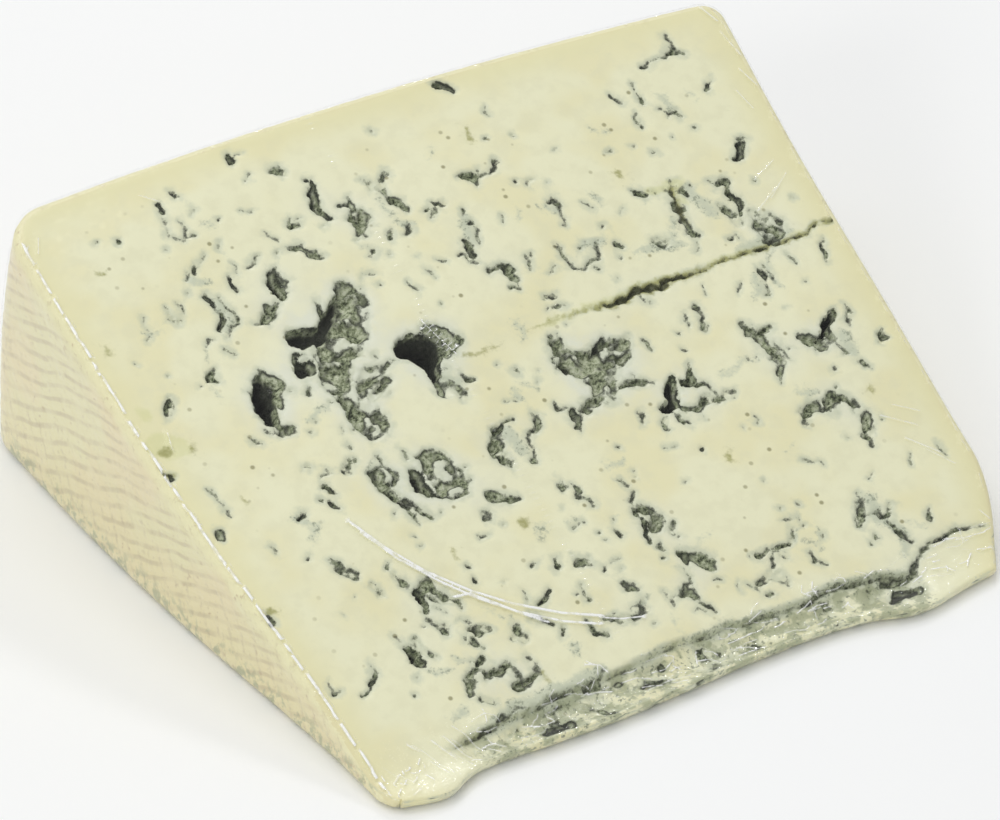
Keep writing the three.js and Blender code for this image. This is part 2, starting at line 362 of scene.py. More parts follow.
OPENINGS["slit"] += [
    [(-21.8, 98.6, 0.2), (-20.4, 98.9, 0.12)],
    [(-35.7, 93.0, 0.12), (-36.0, 90.9, 0.18), (-35.3, 89.5, 0.2), (-34.3, 88.9, 0.22)],
    [(-33.9, 91.6, 0.14), (-33.6, 90.3, 0.2), (-34.2, 89.2, 0.16), (-32.7, 89.1, 0.24)],
    [(-31.6, 92.2, 0.1), (-30.6, 92.8, 0.12)],
    [(-34.0, 79.2, 0.14), (-33.5, 77.0, 0.18), (-33.4, 75.5, 0.2), (-34.8, 74.2, 0.2),
     (-36.0, 73.0, 0.2)],
    [(-35.2, 78.2, 0.15), (-35.1, 77.0, 0.2)],
    [(-39.9, 80.4, 0.2), (-39.8, 79.0, 0.2)],
    [(-30.6, 73.9, 0.3), (-32.0, 74.2, 0.15)],
    [(-28.4, 82.5, 0.14), (-26.3, 83.6, 0.2)],
    [(-24.0, 86.0, 0.12), (-22.6, 84.3, 0.18)],
    [(-0.5, 81.2, 0.2), (-1.2, 79.9, 0.15)],
    [(-4.9, 80.0, 0.25), (-5.0, 79.2, 0.4), (-5.7, 78.6, 0.3)],
]
print("openings so far:", opening_count())

# %% [markdown]
# ### Openings at the upper middle and right
# This part has thin crescents, which are cracks seen from above, and grey patches close to the
# needle track, where air came in and the mould grew sideways. Crescents are slits of three or more
# places, and the patches are torn floors.

# %% Openings at the upper middle and right
OPENINGS["cave"] += [
    [(40.4, 71.3, 0.4), (39.8, 69.6, 0.5), (40.3, 67.7, 0.65), (39.8, 65.8, 0.45)],
]
OPENINGS["pit"] += [
    [(10.0, 99.8, 0.5), (11.0, 99.2, 0.5), (11.7, 97.9, 0.3)],
    [(1.0, 75.4, 0.3), (0.9, 74.0, 0.45), (1.0, 72.5, 0.35)],
    [(15.7, 68.2, 0.25)],
    [(20.5, 67.2, 0.35), (21.3, 66.5, 0.35)],
    [(36.1, 87.3, 0.25), (35.8, 86.6, 0.4)],
    [(47.3, 86.8, 0.15), (46.2, 85.6, 0.35), (45.8, 85.1, 0.25)],
    [(46.0, 75.7, 0.45), (45.2, 74.6, 0.55), (44.2, 73.7, 0.5)],
    [(33.9, 72.0, 0.4), (34.7, 70.6, 0.35)],
]
OPENINGS["torn"] += [
    [(6.0, 84.8, 0.6), (7.2, 84.2, 0.8), (7.3, 82.8, 0.4)],
    [(3.8, 69.6, 0.5), (4.7, 68.9, 0.9), (4.8, 67.4, 0.6)],
    [(25.8, 65.7, 0.5), (26.8, 65.0, 0.7), (28.0, 65.5, 0.3)],
    [(34.0, 85.5, 0.2), (33.4, 84.7, 0.45), (33.6, 83.5, 0.25)],
    [(27.4, 74.0, 0.35), (28.7, 73.1, 0.5)],
    [(33.4, 73.2, 0.6), (32.8, 71.2, 0.8), (31.9, 69.0, 0.8), (31.5, 67.0, 0.5), (31.3, 65.6, 0.4),
     (32.4, 64.5, 0.35)],
    [(38.6, 71.1, 0.4), (39.8, 71.0, 0.5)],
    [(37.4, 68.0, 0.25), (38.2, 66.0, 0.5), (39.0, 64.8, 0.9)],
    [(41.4, 65.0, 0.7), (41.8, 63.0, 1.4), (42.4, 61.2, 1.6), (41.6, 60.2, 1.2)],
]
OPENINGS["slit"] += [
    [(8.4, 83.8, 0.2), (10.3, 83.5, 0.25), (11.7, 85.0, 0.45)],
    [(3.6, 79.8, 0.35), (3.2, 78.5, 0.2)],
    [(3.4, 76.2, 0.25), (3.1, 75.0, 0.3), (2.6, 74.2, 0.2)],
    [(1.9, 69.5, 0.35), (3.2, 69.5, 0.25)],
    [(13.0, 69.8, 0.2), (12.8, 68.0, 0.3), (13.5, 66.0, 0.25), (14.6, 65.2, 0.22), (16.8, 66.0, 0.2)],
    [(16.9, 65.9, 0.2), (17.6, 67.4, 0.35), (18.6, 68.3, 0.2)],
    [(15.0, 76.6, 0.2), (16.0, 77.0, 0.4), (16.6, 75.0, 0.25), (16.2, 73.4, 0.25), (15.5, 72.3, 0.15)],
    [(32.3, 89.0, 0.3), (33.3, 87.8, 0.25)],
    [(36.1, 89.8, 0.12), (36.1, 87.6, 0.15)],
    [(38.3, 84.0, 0.2), (39.6, 83.7, 0.25), (40.0, 82.6, 0.15)],
    [(44.8, 95.1, 0.3), (45.1, 94.0, 0.15), (44.3, 92.6, 0.35), (45.5, 91.6, 0.4)],
    [(44.2, 92.5, 0.25), (41.6, 92.0, 0.14), (39.2, 91.6, 0.3)],
    [(46.1, 76.5, 0.25), (47.0, 76.3, 0.15)],
    [(43.6, 64.0, 0.2), (44.4, 62.2, 0.4)],
]
print("openings so far:", opening_count())

# %% [markdown]
# ### The needle track
# A needle went in through the rim and left a straight channel, and the knife split it lengthwise.
# It swells where it crossed a gap and closes where the paste sprang back. So it is a row of short
# strokes whose width changes, and not one long groove.

# %% The needle track
OPENINGS["track"] += [
    [(51.6, 59.9, 0.02), (49.0, 59.7, 0.12), (46.0, 59.5, 0.08), (43.0, 59.2, 0.22), (41.4, 59.2, 0.1)],
    [(40.6, 59.3, 0.16), (38.0, 59.5, 0.08), (35.0, 59.4, 0.24), (32.0, 59.1, 0.12), (30.4, 59.1, 0.1)],
    [(30.0, 59.1, 0.1), (27.4, 59.2, 0.34), (24.6, 59.3, 0.2), (21.4, 59.3, 0.46), (18.0, 59.2, 0.52),
     (15.0, 59.2, 0.38), (12.8, 59.2, 0.12)],
    [(11.4, 59.3, 0.0), (9.0, 59.3, 0.04)],
]
print("openings so far:", opening_count())

# %% [markdown]
# ### Openings right of the middle
# Here the openings are hooked and branched. A deep one is dark at its bottom and has a torn floor
# around it, so a few cave strokes are laid on wider torn ones.

# %% Openings right of the middle
OPENINGS["cave"] += [
    [(43.2, 46.1, 0.65), (42.3, 45.4, 0.75), (41.0, 44.2, 0.45), (39.8, 43.6, 0.5)],
]
OPENINGS["pit"] += [
    [(37.1, 56.2, 0.25), (37.5, 55.1, 0.55), (37.0, 54.2, 0.25)],
    [(48.0, 57.0, 0.2), (47.7, 55.5, 0.4), (47.2, 54.2, 0.3)],
    [(35.0, 33.2, 0.6), (36.2, 34.7, 0.5)],
]
OPENINGS["torn"] += [
    [(16.7, 51.9, 0.4), (16.7, 50.7, 0.4)],
    [(10.3, 42.1, 0.5), (10.2, 41.2, 0.5)],
    [(30.5, 49.5, 0.5), (31.0, 48.0, 0.6), (31.8, 46.5, 0.8), (32.5, 44.0, 0.8), (32.7, 42.3, 0.5),
     (31.2, 40.7, 0.5), (30.9, 39.6, 0.2)],
    [(37.0, 44.8, 0.5), (38.2, 43.6, 1.0), (39.5, 42.8, 1.1), (41.0, 43.0, 0.6)],
    [(42.7, 38.3, 0.45), (43.4, 37.2, 0.3)],
    [(47.0, 40.1, 0.4), (48.3, 40.6, 0.6), (48.8, 41.4, 0.2)],
    [(30.8, 32.4, 0.4), (31.5, 34.2, 0.6), (33.5, 34.2, 0.8), (35.3, 33.8, 1.2), (36.7, 35.0, 0.7),
     (38.2, 33.5, 0.7), (38.7, 31.9, 0.5)],
    [(39.4, 30.6, 0.8), (38.5, 29.0, 0.9), (37.6, 27.3, 0.7), (37.8, 25.8, 0.4)],
]
OPENINGS["slit"] += [
    [(36.7, 53.9, 0.15), (36.2, 52.5, 0.3)],
    [(38.4, 56.6, 0.2), (38.8, 55.0, 0.2), (38.2, 54.2, 0.2)],
    [(24.2, 54.3, 0.2), (23.4, 52.4, 0.22)],
    [(26.0, 54.3, 0.3), (26.0, 52.5, 0.22), (25.3, 51.0, 0.45)],
    [(32.4, 47.5, 0.3), (33.6, 47.4, 0.4)],
    [(33.4, 45.2, 0.2), (33.5, 43.0, 0.3), (33.8, 41.8, 0.2)],
    [(41.2, 42.0, 0.2), (42.2, 40.2, 0.35)],
    [(45.7, 47.0, 0.15), (45.9, 45.8, 0.25), (44.8, 44.4, 0.3)],
]
print("openings so far:", opening_count())

# %% [markdown]
# ### Openings at the lower middle
# The middle of the lower half is sparse: single slits and small torn spots, each two to four
# places long. Their direction matters more than their number.

# %% Openings at the lower middle
OPENINGS["pit"] += [
    [(1.9, 29.4, 0.3), (1.9, 27.4, 0.4), (2.0, 25.6, 0.4), (1.6, 24.0, 0.35)],
    [(4.9, 21.0, 0.6), (4.8, 20.0, 0.6)],
    [(30.9, 14.0, 0.2), (30.6, 13.5, 0.3)],
    [(-1.8, 28.0, 0.3), (-1.4, 26.8, 0.35)],
    [(-11.6, 26.5, 0.25), (-12.0, 25.6, 0.35)],
    [(-6.4, 23.6, 0.25), (-6.8, 23.1, 0.3)],
    [(-14.6, 23.2, 0.3), (-15.8, 22.0, 0.4), (-17.0, 21.6, 0.3)],
    [(-16.2, 17.2, 0.3), (-16.3, 16.2, 0.3)],
]
OPENINGS["torn"] += [
    [(-14.5, 38.2, 0.7), (-12.7, 37.2, 0.8), (-11.7, 36.9, 0.4)],
    [(-16.5, 36.8, 0.3), (-17.0, 35.8, 0.4)],
    [(-5.0, 37.2, 0.35), (-5.3, 36.1, 0.35)],
    [(-3.8, 36.2, 0.3), (-3.5, 35.0, 0.4), (-4.4, 34.3, 0.3), (-3.4, 33.5, 0.25), (-2.6, 32.4, 0.45)],
    [(2.4, 34.0, 0.4), (2.6, 32.9, 0.55)],
    [(3.0, 29.0, 0.9), (3.8, 27.4, 0.9), (3.0, 26.2, 0.9)],
    [(5.5, 25.6, 0.5), (5.1, 24.5, 0.35)],
    [(2.8, 23.4, 0.25), (2.6, 22.5, 0.35)],
    [(5.8, 20.2, 1.0), (6.8, 19.1, 1.2), (7.0, 18.1, 0.7)],
    [(3.1, 17.0, 0.5), (2.5, 15.7, 0.8), (3.2, 14.8, 0.7)],
    [(12.5, 13.4, 0.5), (14.0, 14.0, 0.6), (15.4, 15.0, 0.35), (16.5, 16.6, 0.4), (18.5, 17.0, 0.35),
     (19.8, 17.8, 0.5), (20.3, 19.0, 0.3)],
    [(17.3, 16.0, 0.4), (17.5, 15.0, 0.2)],
    [(15.0, 13.0, 0.55), (15.6, 12.1, 0.3)],
    [(11.3, 11.7, 0.35), (12.9, 11.1, 0.3)],
    [(21.0, 14.7, 0.3), (21.4, 13.5, 0.45), (21.9, 12.2, 0.2)],
    [(32.0, 20.0, 0.45), (31.0, 18.8, 0.6), (30.2, 17.0, 0.7), (29.4, 16.0, 0.35)],
    [(33.2, 17.2, 0.25), (33.3, 16.0, 0.35), (34.4, 15.8, 0.6), (35.2, 16.9, 0.3)],
    [(-8.9, 25.4, 0.6), (-8.0, 24.7, 0.6)],
    [(-4.9, 20.3, 0.3), (-4.3, 19.2, 0.45), (-3.8, 18.5, 0.35)],
    [(-9.5, 16.4, 0.45), (-8.0, 15.2, 0.6), (-6.3, 15.1, 0.55), (-4.6, 15.8, 0.7), (-4.0, 16.8, 0.35)],
]
OPENINGS["slit"] += [
    [(3.3, 31.8, 0.3), (2.3, 30.4, 0.35)],
    [(3.4, 29.7, 0.2), (4.5, 28.3, 0.22), (4.8, 26.4, 0.2)],
    [(3.6, 19.4, 0.15), (3.5, 17.6, 0.2)],
    [(3.4, 13.8, 0.3), (4.4, 12.2, 0.3)],
    [(15.6, 17.2, 0.3), (14.3, 16.9, 0.25)],
    [(33.7, 15.0, 0.3), (34.0, 13.0, 0.4), (34.8, 11.4, 0.4)],
    [(39.6, 14.6, 0.22), (39.0, 13.0, 0.28)],
    [(46.1, 22.8, 0.15), (46.8, 21.3, 0.2)],
    [(-10.6, 21.8, 0.18), (-10.9, 19.6, 0.3)],
    [(-18.6, 20.4, 0.3), (-17.1, 18.4, 0.4)],
    [(-12.2, 17.0, 0.35), (-12.3, 15.0, 0.4), (-10.6, 14.2, 0.2)],
]
print("openings so far:", opening_count())

# %% [markdown]
# ### Openings at the lower left and along the nose
# Near the thin edge the paste is loose, and the openings crowd together. Some run into the ledge
# of the torn nose, and one crack goes round the right toe. They are strokes like the others, so
# that the mould passes from the cut into the broken strip without a seam.

# %% Openings at the lower left and along the nose
OPENINGS["cave"] += [
    [(-31.0, 29.0, 0.9), (-31.1, 27.5, 0.65), (-31.3, 26.0, 0.4)],
]
OPENINGS["pit"] += [
    [(-53.7, 57.5, 0.25), (-53.4, 56.6, 0.4)],
    [(-51.4, 33.3, 0.3), (-51.0, 31.9, 0.4)],
    [(-34.9, 47.7, 0.35), (-34.1, 46.6, 0.4)],
    [(-35.7, 45.3, 0.45), (-35.0, 44.0, 0.35)],
    [(-29.0, 52.6, 0.15), (-28.9, 51.7, 0.3)],
    [(-29.0, 55.2, 0.25), (-29.1, 54.6, 0.15)],
    [(-39.9, 45.2, 0.35), (-40.8, 44.6, 0.3)],
    [(-23.3, 30.1, 0.4)],
    [(-23.4, 28.2, 0.3), (-23.4, 27.6, 0.4)],
    [(-36.6, 22.6, 0.6), (-36.2, 21.0, 0.8), (-35.7, 19.6, 0.5)],
    [(-42.0, 22.0, 0.15), (-41.9, 20.7, 0.3), (-43.0, 19.7, 0.35), (-44.2, 18.7, 0.25),
     (-45.1, 18.4, 0.35)],
    [(-25.4, 3.9, 0.5), (-23.8, 4.6, 0.9), (-22.0, 4.5, 0.8)],
    [(27.8, 3.8, 0.6), (29.4, 4.6, 0.9), (31.6, 4.2, 0.7)],
    [(-9.6, 6.2, 0.4), (-8.0, 6.2, 0.6), (-6.4, 5.4, 0.4)],
    [(15.6, 3.4, 0.3), (16.6, 3.6, 0.3)],
]
OPENINGS["torn"] += [
    [(-30.2, 50.5, 0.25), (-31.0, 49.2, 0.7)],
    [(-39.5, 37.5, 0.45), (-38.7, 36.0, 0.65), (-37.8, 34.5, 0.4)],
    [(-36.2, 32.6, 0.3), (-36.1, 30.9, 0.35)],
    [(-46.0, 42.2, 0.25), (-45.3, 41.1, 0.2)],
    [(-51.3, 46.7, 0.45), (-51.4, 46.0, 0.35)],
    [(-36.4, 51.4, 0.2), (-35.4, 51.2, 0.3), (-35.3, 50.6, 0.2)],
    [(-32.6, 32.4, 0.3), (-32.2, 30.6, 0.45)],
    [(-29.6, 29.8, 1.0), (-28.9, 28.0, 1.1), (-28.0, 26.8, 0.7)],
    [(-31.4, 24.8, 0.3), (-30.8, 23.6, 0.45), (-30.5, 22.4, 0.25)],
    [(-27.3, 21.8, 0.5), (-26.3, 21.0, 0.9), (-25.0, 20.8, 0.4)],
    [(-27.6, 20.2, 0.4), (-27.2, 18.8, 0.3)],
    [(-35.1, 23.0, 0.5), (-34.8, 21.2, 0.7), (-33.6, 20.2, 0.35)],
    [(-21.6, 20.2, 0.4), (-22.3, 19.0, 0.6), (-21.4, 17.9, 0.5)],
    [(-31.7, 13.3, 0.45), (-31.0, 15.0, 0.7), (-29.5, 16.3, 0.6), (-28.0, 16.9, 0.5)],
    [(-28.5, 15.2, 0.7), (-26.5, 15.0, 0.7), (-25.2, 15.0, 0.8), (-25.0, 13.4, 0.6)],
    [(-30.8, 12.2, 0.35), (-29.7, 10.9, 0.35)],
    [(-25.4, 12.2, 0.9), (-23.6, 12.0, 0.8), (-22.2, 12.6, 0.6), (-22.2, 15.0, 0.3)],
    [(-33.0, 8.2, 0.2), (-30.0, 8.5, 0.5), (-27.4, 9.0, 0.3)],
    [(-17.4, 8.3, 0.4), (-15.4, 8.4, 0.5), (-14.6, 9.4, 0.4)],
    [(28.0, 7.0, 0.5), (30.4, 6.6, 0.7), (32.4, 6.3, 0.6)],
]
OPENINGS["slit"] += [
    [(-49.6, 53.6, 0.2), (-49.0, 51.0, 0.12), (-48.4, 48.7, 0.1)],
    [(-40.8, 58.3, 0.15), (-40.4, 57.2, 0.22), (-39.7, 56.5, 0.12)],
    [(-27.0, 26.4, 0.3), (-26.9, 25.0, 0.2)],
    [(-37.2, 25.2, 0.15), (-36.8, 24.0, 0.25)],
    [(-48.1, 21.8, 0.1), (-48.5, 20.2, 0.2), (-47.9, 19.8, 0.3)],
    [(-38.0, 7.4, 0.1), (-34.0, 7.9, 0.22), (-30.0, 8.4, 0.3), (-26.0, 8.8, 0.2)],
    [(32.8, 6.8, 0.5), (33.6, 8.4, 0.3), (35.2, 9.6, 0.25), (38.0, 10.2, 0.25), (41.6, 10.2, 0.35),
     (43.6, 10.0, 0.2), (46.0, 9.0, 0.1)],
]
print("openings so far:", opening_count())

# %% [markdown]
# ### Lumps of curd in the openings
# Crumbs of white curd still stand in the larger openings. Each is a place and a half width, and is
# raised after the openings are cut, so that it grows out of their floor instead of floating on it.

# %% Lumps of curd
LUMPS = [
    (-28.2, 67.0, 0.55), (-21.6, 67.4, 0.8), (-23.0, 61.8, 0.9), (-23.6, 57.8, 0.8), (-20.3, 64.2, 0.8),
    (18.2, 42.3, 0.9), (17.2, 42.8, 0.75), (-21.2, 43.4, 0.6), (-26.4, 45.6, 0.4), (-25.6, 40.4, 0.35),
    (-36.9, 58.0, 0.3), (3.1, 27.6, 0.35), (-22.9, 47.0, 0.3), (34.9, 32.6, 0.35), (-27.0, 13.0, 0.9),
]
print("lumps of curd:", len(LUMPS))

# %% [markdown]
# ### Stains without an opening
# Some mould lies just under the surface and shows as a soft grey cloud, and the juice near a needle
# track is olive. There is no opening, so these strokes carry a colour only.

# %% Stains
STAINS = [
    ("grey", [(-34.6, 78.6, 0.6), (-34.4, 76.0, 0.7), (-35.2, 74.4, 0.4)]),
    ("grey", [(-36.0, 83.0, 1.0), (-34.6, 82.0, 0.6)]),
    ("grey", [(3.0, 78.0, 0.5), (2.2, 76.4, 0.7), (1.8, 74.4, 0.4)]),
    ("grey", [(16.6, 68.6, 0.9), (19.0, 68.2, 0.5)]),
    ("grey", [(13.0, 76.4, 0.3), (16.2, 75.2, 0.5)]),
    ("grey", [(21.2, 75.4, 0.5), (22.0, 74.2, 0.6)]),
    ("grey", [(22.4, 65.0, 0.3), (25.0, 64.6, 0.8), (29.6, 64.0, 0.5)]),
    ("grey", [(34.6, 71.4, 0.9), (35.6, 69.0, 1.0), (36.0, 66.6, 0.6)]),
    ("grey", [(36.0, 60.4, 0.4), (41.0, 60.4, 0.9), (44.6, 60.6, 0.4)]),
    ("grey", [(-41.6, 45.0, 0.4), (-39.0, 43.0, 0.5), (-40.4, 41.6, 0.3)]),
    ("grey", [(-8.0, 46.0, 1.2), (-7.6, 43.4, 1.2)]),
    ("grey", [(-34.0, 11.4, 0.6), (-36.0, 10.6, 0.3)]),
    ("grey", [(-15.9, 14.0, 0.7), (-16.2, 12.8, 0.3)]),
    ("grey", [(33.0, 19.0, 0.8), (32.4, 16.6, 0.8), (34.4, 12.4, 0.7), (32.8, 9.6, 0.5)]),
    ("grey", [(43.0, 42.6, 1.0), (42.9, 40.0, 0.7)]),
    ("grey", [(38.6, 86.8, 0.5), (39.4, 84.6, 0.6)]),
    ("grey", [(-12.0, 57.0, 1.0), (-10.6, 55.6, 0.8)]),
    ("olive", [(-52.0, 60.4, 0.8), (-51.9, 60.3, 0.8)]),
    ("pale", [(-52.2, 66.6, 1.0), (-52.1, 66.5, 1.0)]),
    ("pale", [(-52.4, 61.6, 1.8), (-50.6, 60.4, 1.8)]),
    ("olive", [(-51.0, 33.6, 0.4), (-50.2, 33.5, 0.6)]),
    ("olive", [(-54.2, 57.4, 0.5), (-53.0, 57.0, 0.2)]),
    ("olive", [(10.5, 91.0, 0.3), (10.1, 89.4, 0.3)]),
    ("olive", [(-48.6, 59.8, 0.25), (-49.0, 59.2, 0.3)]),
    ("olive", [(-46.1, 50.0, 0.25), (-46.0, 49.6, 0.25)]),
    ("olive", [(-3.0, 58.6, 0.1), (-8.0, 58.8, 0.3)]),
    ("olive", [(14.0, 59.7, 0.2), (8.0, 59.7, 0.1), (2.0, 59.3, 0.1)]),
    ("pale", [(46.0, 60.2, 0.3), (38.0, 60.0, 0.6), (31.0, 59.6, 0.3)]),
    ("pale", [(28.0, 59.6, 0.2), (20.0, 59.8, 0.5), (12.0, 59.8, 0.6), (4.0, 59.4, 0.3)]),
    ("olive", [(33.2, 72.8, 0.3), (32.2, 69.0, 0.5), (31.6, 66.6, 0.2)]),
    ("pale", [(29.6, 73.2, 0.5), (34.0, 73.0, 0.9), (33.6, 70.0, 0.4)]),
    ("olive", [(-12.8, 33.4, 0.45), (-13.0, 32.4, 0.45)]),
    ("olive", [(42.1, 34.2, 0.25), (42.3, 33.8, 0.3)]),
    ("olive", [(-23.8, 32.6, 0.2), (-23.8, 31.8, 0.25)]),
    ("olive", [(-21.6, 12.6, 0.1), (-21.4, 10.6, 0.2)]),
    ("olive", [(-38.4, 7.4, 0.0), (-33.0, 8.1, 0.15)]),
    ("grey", [(-32.0, 8.6, 0.5), (-28.0, 9.0, 1.2), (-22.0, 9.0, 1.4), (-17.0, 9.0, 1.4),
              (-14.0, 9.6, 0.8)]),
    ("olive", [(18.3, 32.4, 0.3), (18.2, 31.6, 0.3)]),
    ("olive", [(26.8, 77.6, 0.4), (26.9, 76.8, 0.4)]),
    ("olive", [(-47.9, 88.6, 0.2), (-47.4, 88.3, 0.25)]),
    ("olive", [(-52.2, 77.4, 0.1), (-51.7, 76.2, 0.12)]),
]
print(opening_count(), "openings,", len(LUMPS), "lumps and", len(STAINS), "stains on the sketch")

# %% [markdown]
# ## From strokes to depth
# To cut the openings into the paste, each place of the cut needs two numbers: how far it is from
# the edge of the nearest opening, and how deep the opening is there. Boolean cuts with hundreds
# of tools would be slow and would leave knife-sharp rims. A fine grid of distances is quick and
# gives the mould a true edge to follow. The strokes are pushed about by noise before they are
# measured, so that their rims come out ragged. Each kind of opening has its own depth and wall.

# %% Fields over a cut
# kind: floor depth, steepness of the wall, raggedness of the rim, darkness of the floor (how much painted
# shade the floor takes as it deepens, partly the darker mould of that kind)
KINDS = {
    "cave": (6.0, 4.5, 0.16, 1.0),
    "pit": (2.4, 3.6, 0.10, 0.8),
    "slope": (2.6, 1.3, 0.12, 0.5),
    "torn": (1.15, 1.7, 0.26, 0.15),
    "slit": (1.1, 2.8, 0.07, 0.4),
    "track": (1.0, 2.6, 0.2, 0.5),
}
STEP = 0.2
FIELD_X, FIELD_R = (-60.0, 60.0), (-5.0, 103.0)
FAR, VERY_FAR = 3.0, 9.0
# layers of noise, each an amount and a size
WARP, FRINGE = ((0.4, 1.9), (0.26, 0.8)), ((1.0, 1.0), (0.8, 0.5))
ISLANDS, BUMPS = ((0.8, 1.7), (0.5, 0.8)), ((0.35, 1.3), (0.2, 0.6))
ISLAND_LEVEL, ISLAND_RISE = 0.42, 0.35
TORN_FLOOR, TORN_STEEP = 0.3, 2.2
OLIVE_CORE, OLIVE_REACH, OLIVE_INSIDE = 0.8, 1.05, 0.25
LUMP_STEEP, LUMP_FLAT, LUMP_LOW, LUMP_MARGIN = 2.2, 0.45, 0.15, 1.5
STAIN_CORE, STAIN_REACH = 0.55, 1.3


def stroke_distance(x, r, chain):
    """Distance to a chain of places with half widths, below zero inside it."""
    chain = chain if len(chain) > 1 else chain * 2
    best = np.full(x.shape, VERY_FAR)
    for (ax, ar, aw), (bx, br, bw) in zip(chain, chain[1:]):
        ux, ur = bx - ax, br - ar
        share = np.clip(((x - ax) * ux + (r - ar) * ur) / max(ux * ux + ur * ur, 1e-6), 0.0, 1.0)
        gap = np.hypot(x - ax - share * ux, r - ar - share * ur) - (aw + (bw - aw) * share)
        best = np.minimum(best, gap)
    return best


def blank_fields(seed):
    """An empty sheet of a cut, with the noise that makes its rims and floors uneven."""
    x, r = np.meshgrid(np.arange(*FIELD_X, STEP), np.arange(*FIELD_R, STEP))
    fields = {"x": x, "r": r}
    fields["wx"] = layered(x, x, r, seed, *WARP)
    fields["wr"] = layered(r, x, r, seed + 2, *WARP)
    fields["fringe"] = layered(0.0, x, r, seed + 4, *FRINGE)
    fields["bumpy"] = layered(1.0, x, r, seed + 6, *BUMPS)
    fields["island"] = layered(0.0, x, r, seed + 8, *ISLANDS) - ISLAND_LEVEL
    fields["opening"] = np.full(x.shape, FAR)
    for name in ("depth", "dark", "grey", "olive", "pale", "strip"):
        fields[name] = np.zeros_like(x)
    return fields


def window(chain, margin):
    """The part of a sheet that a stroke can reach."""
    low_x = min(p[0] - p[2] for p in chain) - margin
    high_x = max(p[0] + p[2] for p in chain) + margin
    low_r = min(p[1] - p[2] for p in chain) - margin
    high_r = max(p[1] + p[2] for p in chain) + margin
    columns = [max(0, int((v - FIELD_X[0]) / STEP)) for v in (low_x, high_x)]
    rows = [max(0, int((v - FIELD_R[0]) / STEP)) for v in (low_r, high_r)]
    return slice(rows[0], rows[1] + 1), slice(columns[0], columns[1] + 1)


def stamp_opening(fields, kind, chain):
    floor, steep, ragged, dark = KINDS[kind]
    w = window(chain, FAR)
    gap = stroke_distance(fields["wx"][w], fields["wr"][w], chain) + ragged * fields["fringe"][w]
    deep = np.minimum(floor * fields["bumpy"][w], steep * np.maximum(0.0, -gap))
    if kind == "torn":
        island = np.minimum(ISLAND_RISE, fields["island"][w])
        gap = np.where(gap < 0.0, np.maximum(gap, island), gap)
        deep = np.minimum(deep, TORN_FLOOR + TORN_STEEP * np.maximum(0.0, -gap))
    fields["opening"][w] = np.minimum(fields["opening"][w], gap)
    fields["dark"][w] = np.where(deep > fields["depth"][w], dark, fields["dark"][w])
    fields["depth"][w] = np.maximum(fields["depth"][w], deep)
    if kind == "track":
        olive = smooth(OLIVE_CORE - np.maximum(gap, -OLIVE_INSIDE * gap) / OLIVE_REACH)
        fields["olive"][w] = np.maximum(fields["olive"][w], olive)


def stamp_lump(fields, x, r, half):
    w = window([(x, r, half)], LUMP_MARGIN)
    away = np.hypot(fields["wx"][w] - x, fields["wr"][w] - r)
    fields["opening"][w] = np.maximum(fields["opening"][w], half - away)
    dome = LUMP_STEEP * np.maximum(0.0, away - LUMP_FLAT * half) + LUMP_LOW
    fields["depth"][w] = np.minimum(fields["depth"][w], dome)


def stamp_stain(fields, kind, chain):
    w = window(chain, FAR)
    gap = stroke_distance(fields["wx"][w], fields["wr"][w], chain)
    fields[kind][w] = np.maximum(fields[kind][w], smooth(STAIN_CORE - gap / STAIN_REACH))


def scaled(chain):
    return [(sketch_scale * x, sketch_scale * r, sketch_scale * half) for x, r, half in chain]


def sample(fields, name, x, r):
    """The value of a field at any places, blended between the four points around each."""
    grid = fields[name]
    last_row, last_column = (size - 1.001 for size in grid.shape)
    u = np.clip((x - FIELD_X[0]) / STEP, 0, last_column)
    v = np.clip((r - FIELD_R[0]) / STEP, 0, last_row)
    i, j = u.astype(int), v.astype(int)
    fu, fv = u - i, v - j
    low = grid[j, i] * (1 - fu) + grid[j, i + 1] * fu
    high = grid[j + 1, i] * (1 - fu) + grid[j + 1, i + 1] * fu
    return low * (1 - fv) + high * fv


upper = blank_fields(11)
for kind, chains in OPENINGS.items():
    for chain in chains:
        stamp_opening(upper, kind, scaled(chain))
print("openings of the upper cut, mm2:", round(float((upper["opening"] < 0).sum()) * STEP**2))

# %% [markdown]
# ## Small openings that differ from wedge to wedge
# Between the openings one notices there are hundreds of pinholes and short hairlines, and the
# lower cut, which nobody sees on the shelf, has the whole range again. These come from a seeded
# generator: a short walk in a random direction, with a width that swells and fades. The paste
# close to the rind is denser, so fewer walks start there.

# %% Seeded pinholes and a seeded lower cut
WALK_X, WALK_R, WALK_TURN = (-54, 54), (11, 98), 0.9
WALK_THIN, WALK_UNEVEN = 0.45, (0.75, 1.25)
DENSE_RIND, DENSE_FADE = 1.5, 16.0
# how many, of which kind or colour, half widths, places in a walk, strides
UPPER_SEEDS = [
    (150, "pit", (0.14, 0.3), 1, (0.0,)),
    (70, "slit", (0.1, 0.2), 3, (0.5, 1.0)),
    (46, "grey", (0.1, 0.5), 3, (0.7, 1.8)),
]
LOWER_SEEDS = [
    (9, "cave", (1.0, 2.0), 3, (2.0,)),
    (60, "torn", (0.5, 1.9), 4, (1.2, 2.4)),
    (60, "pit", (0.25, 0.8), 2, (0.6, 1.4)),
    (90, "slit", (0.15, 0.35), 4, (0.8, 1.6)),
    (70, "grey", (0.1, 0.7), 3, (0.7, 2.0)),
]


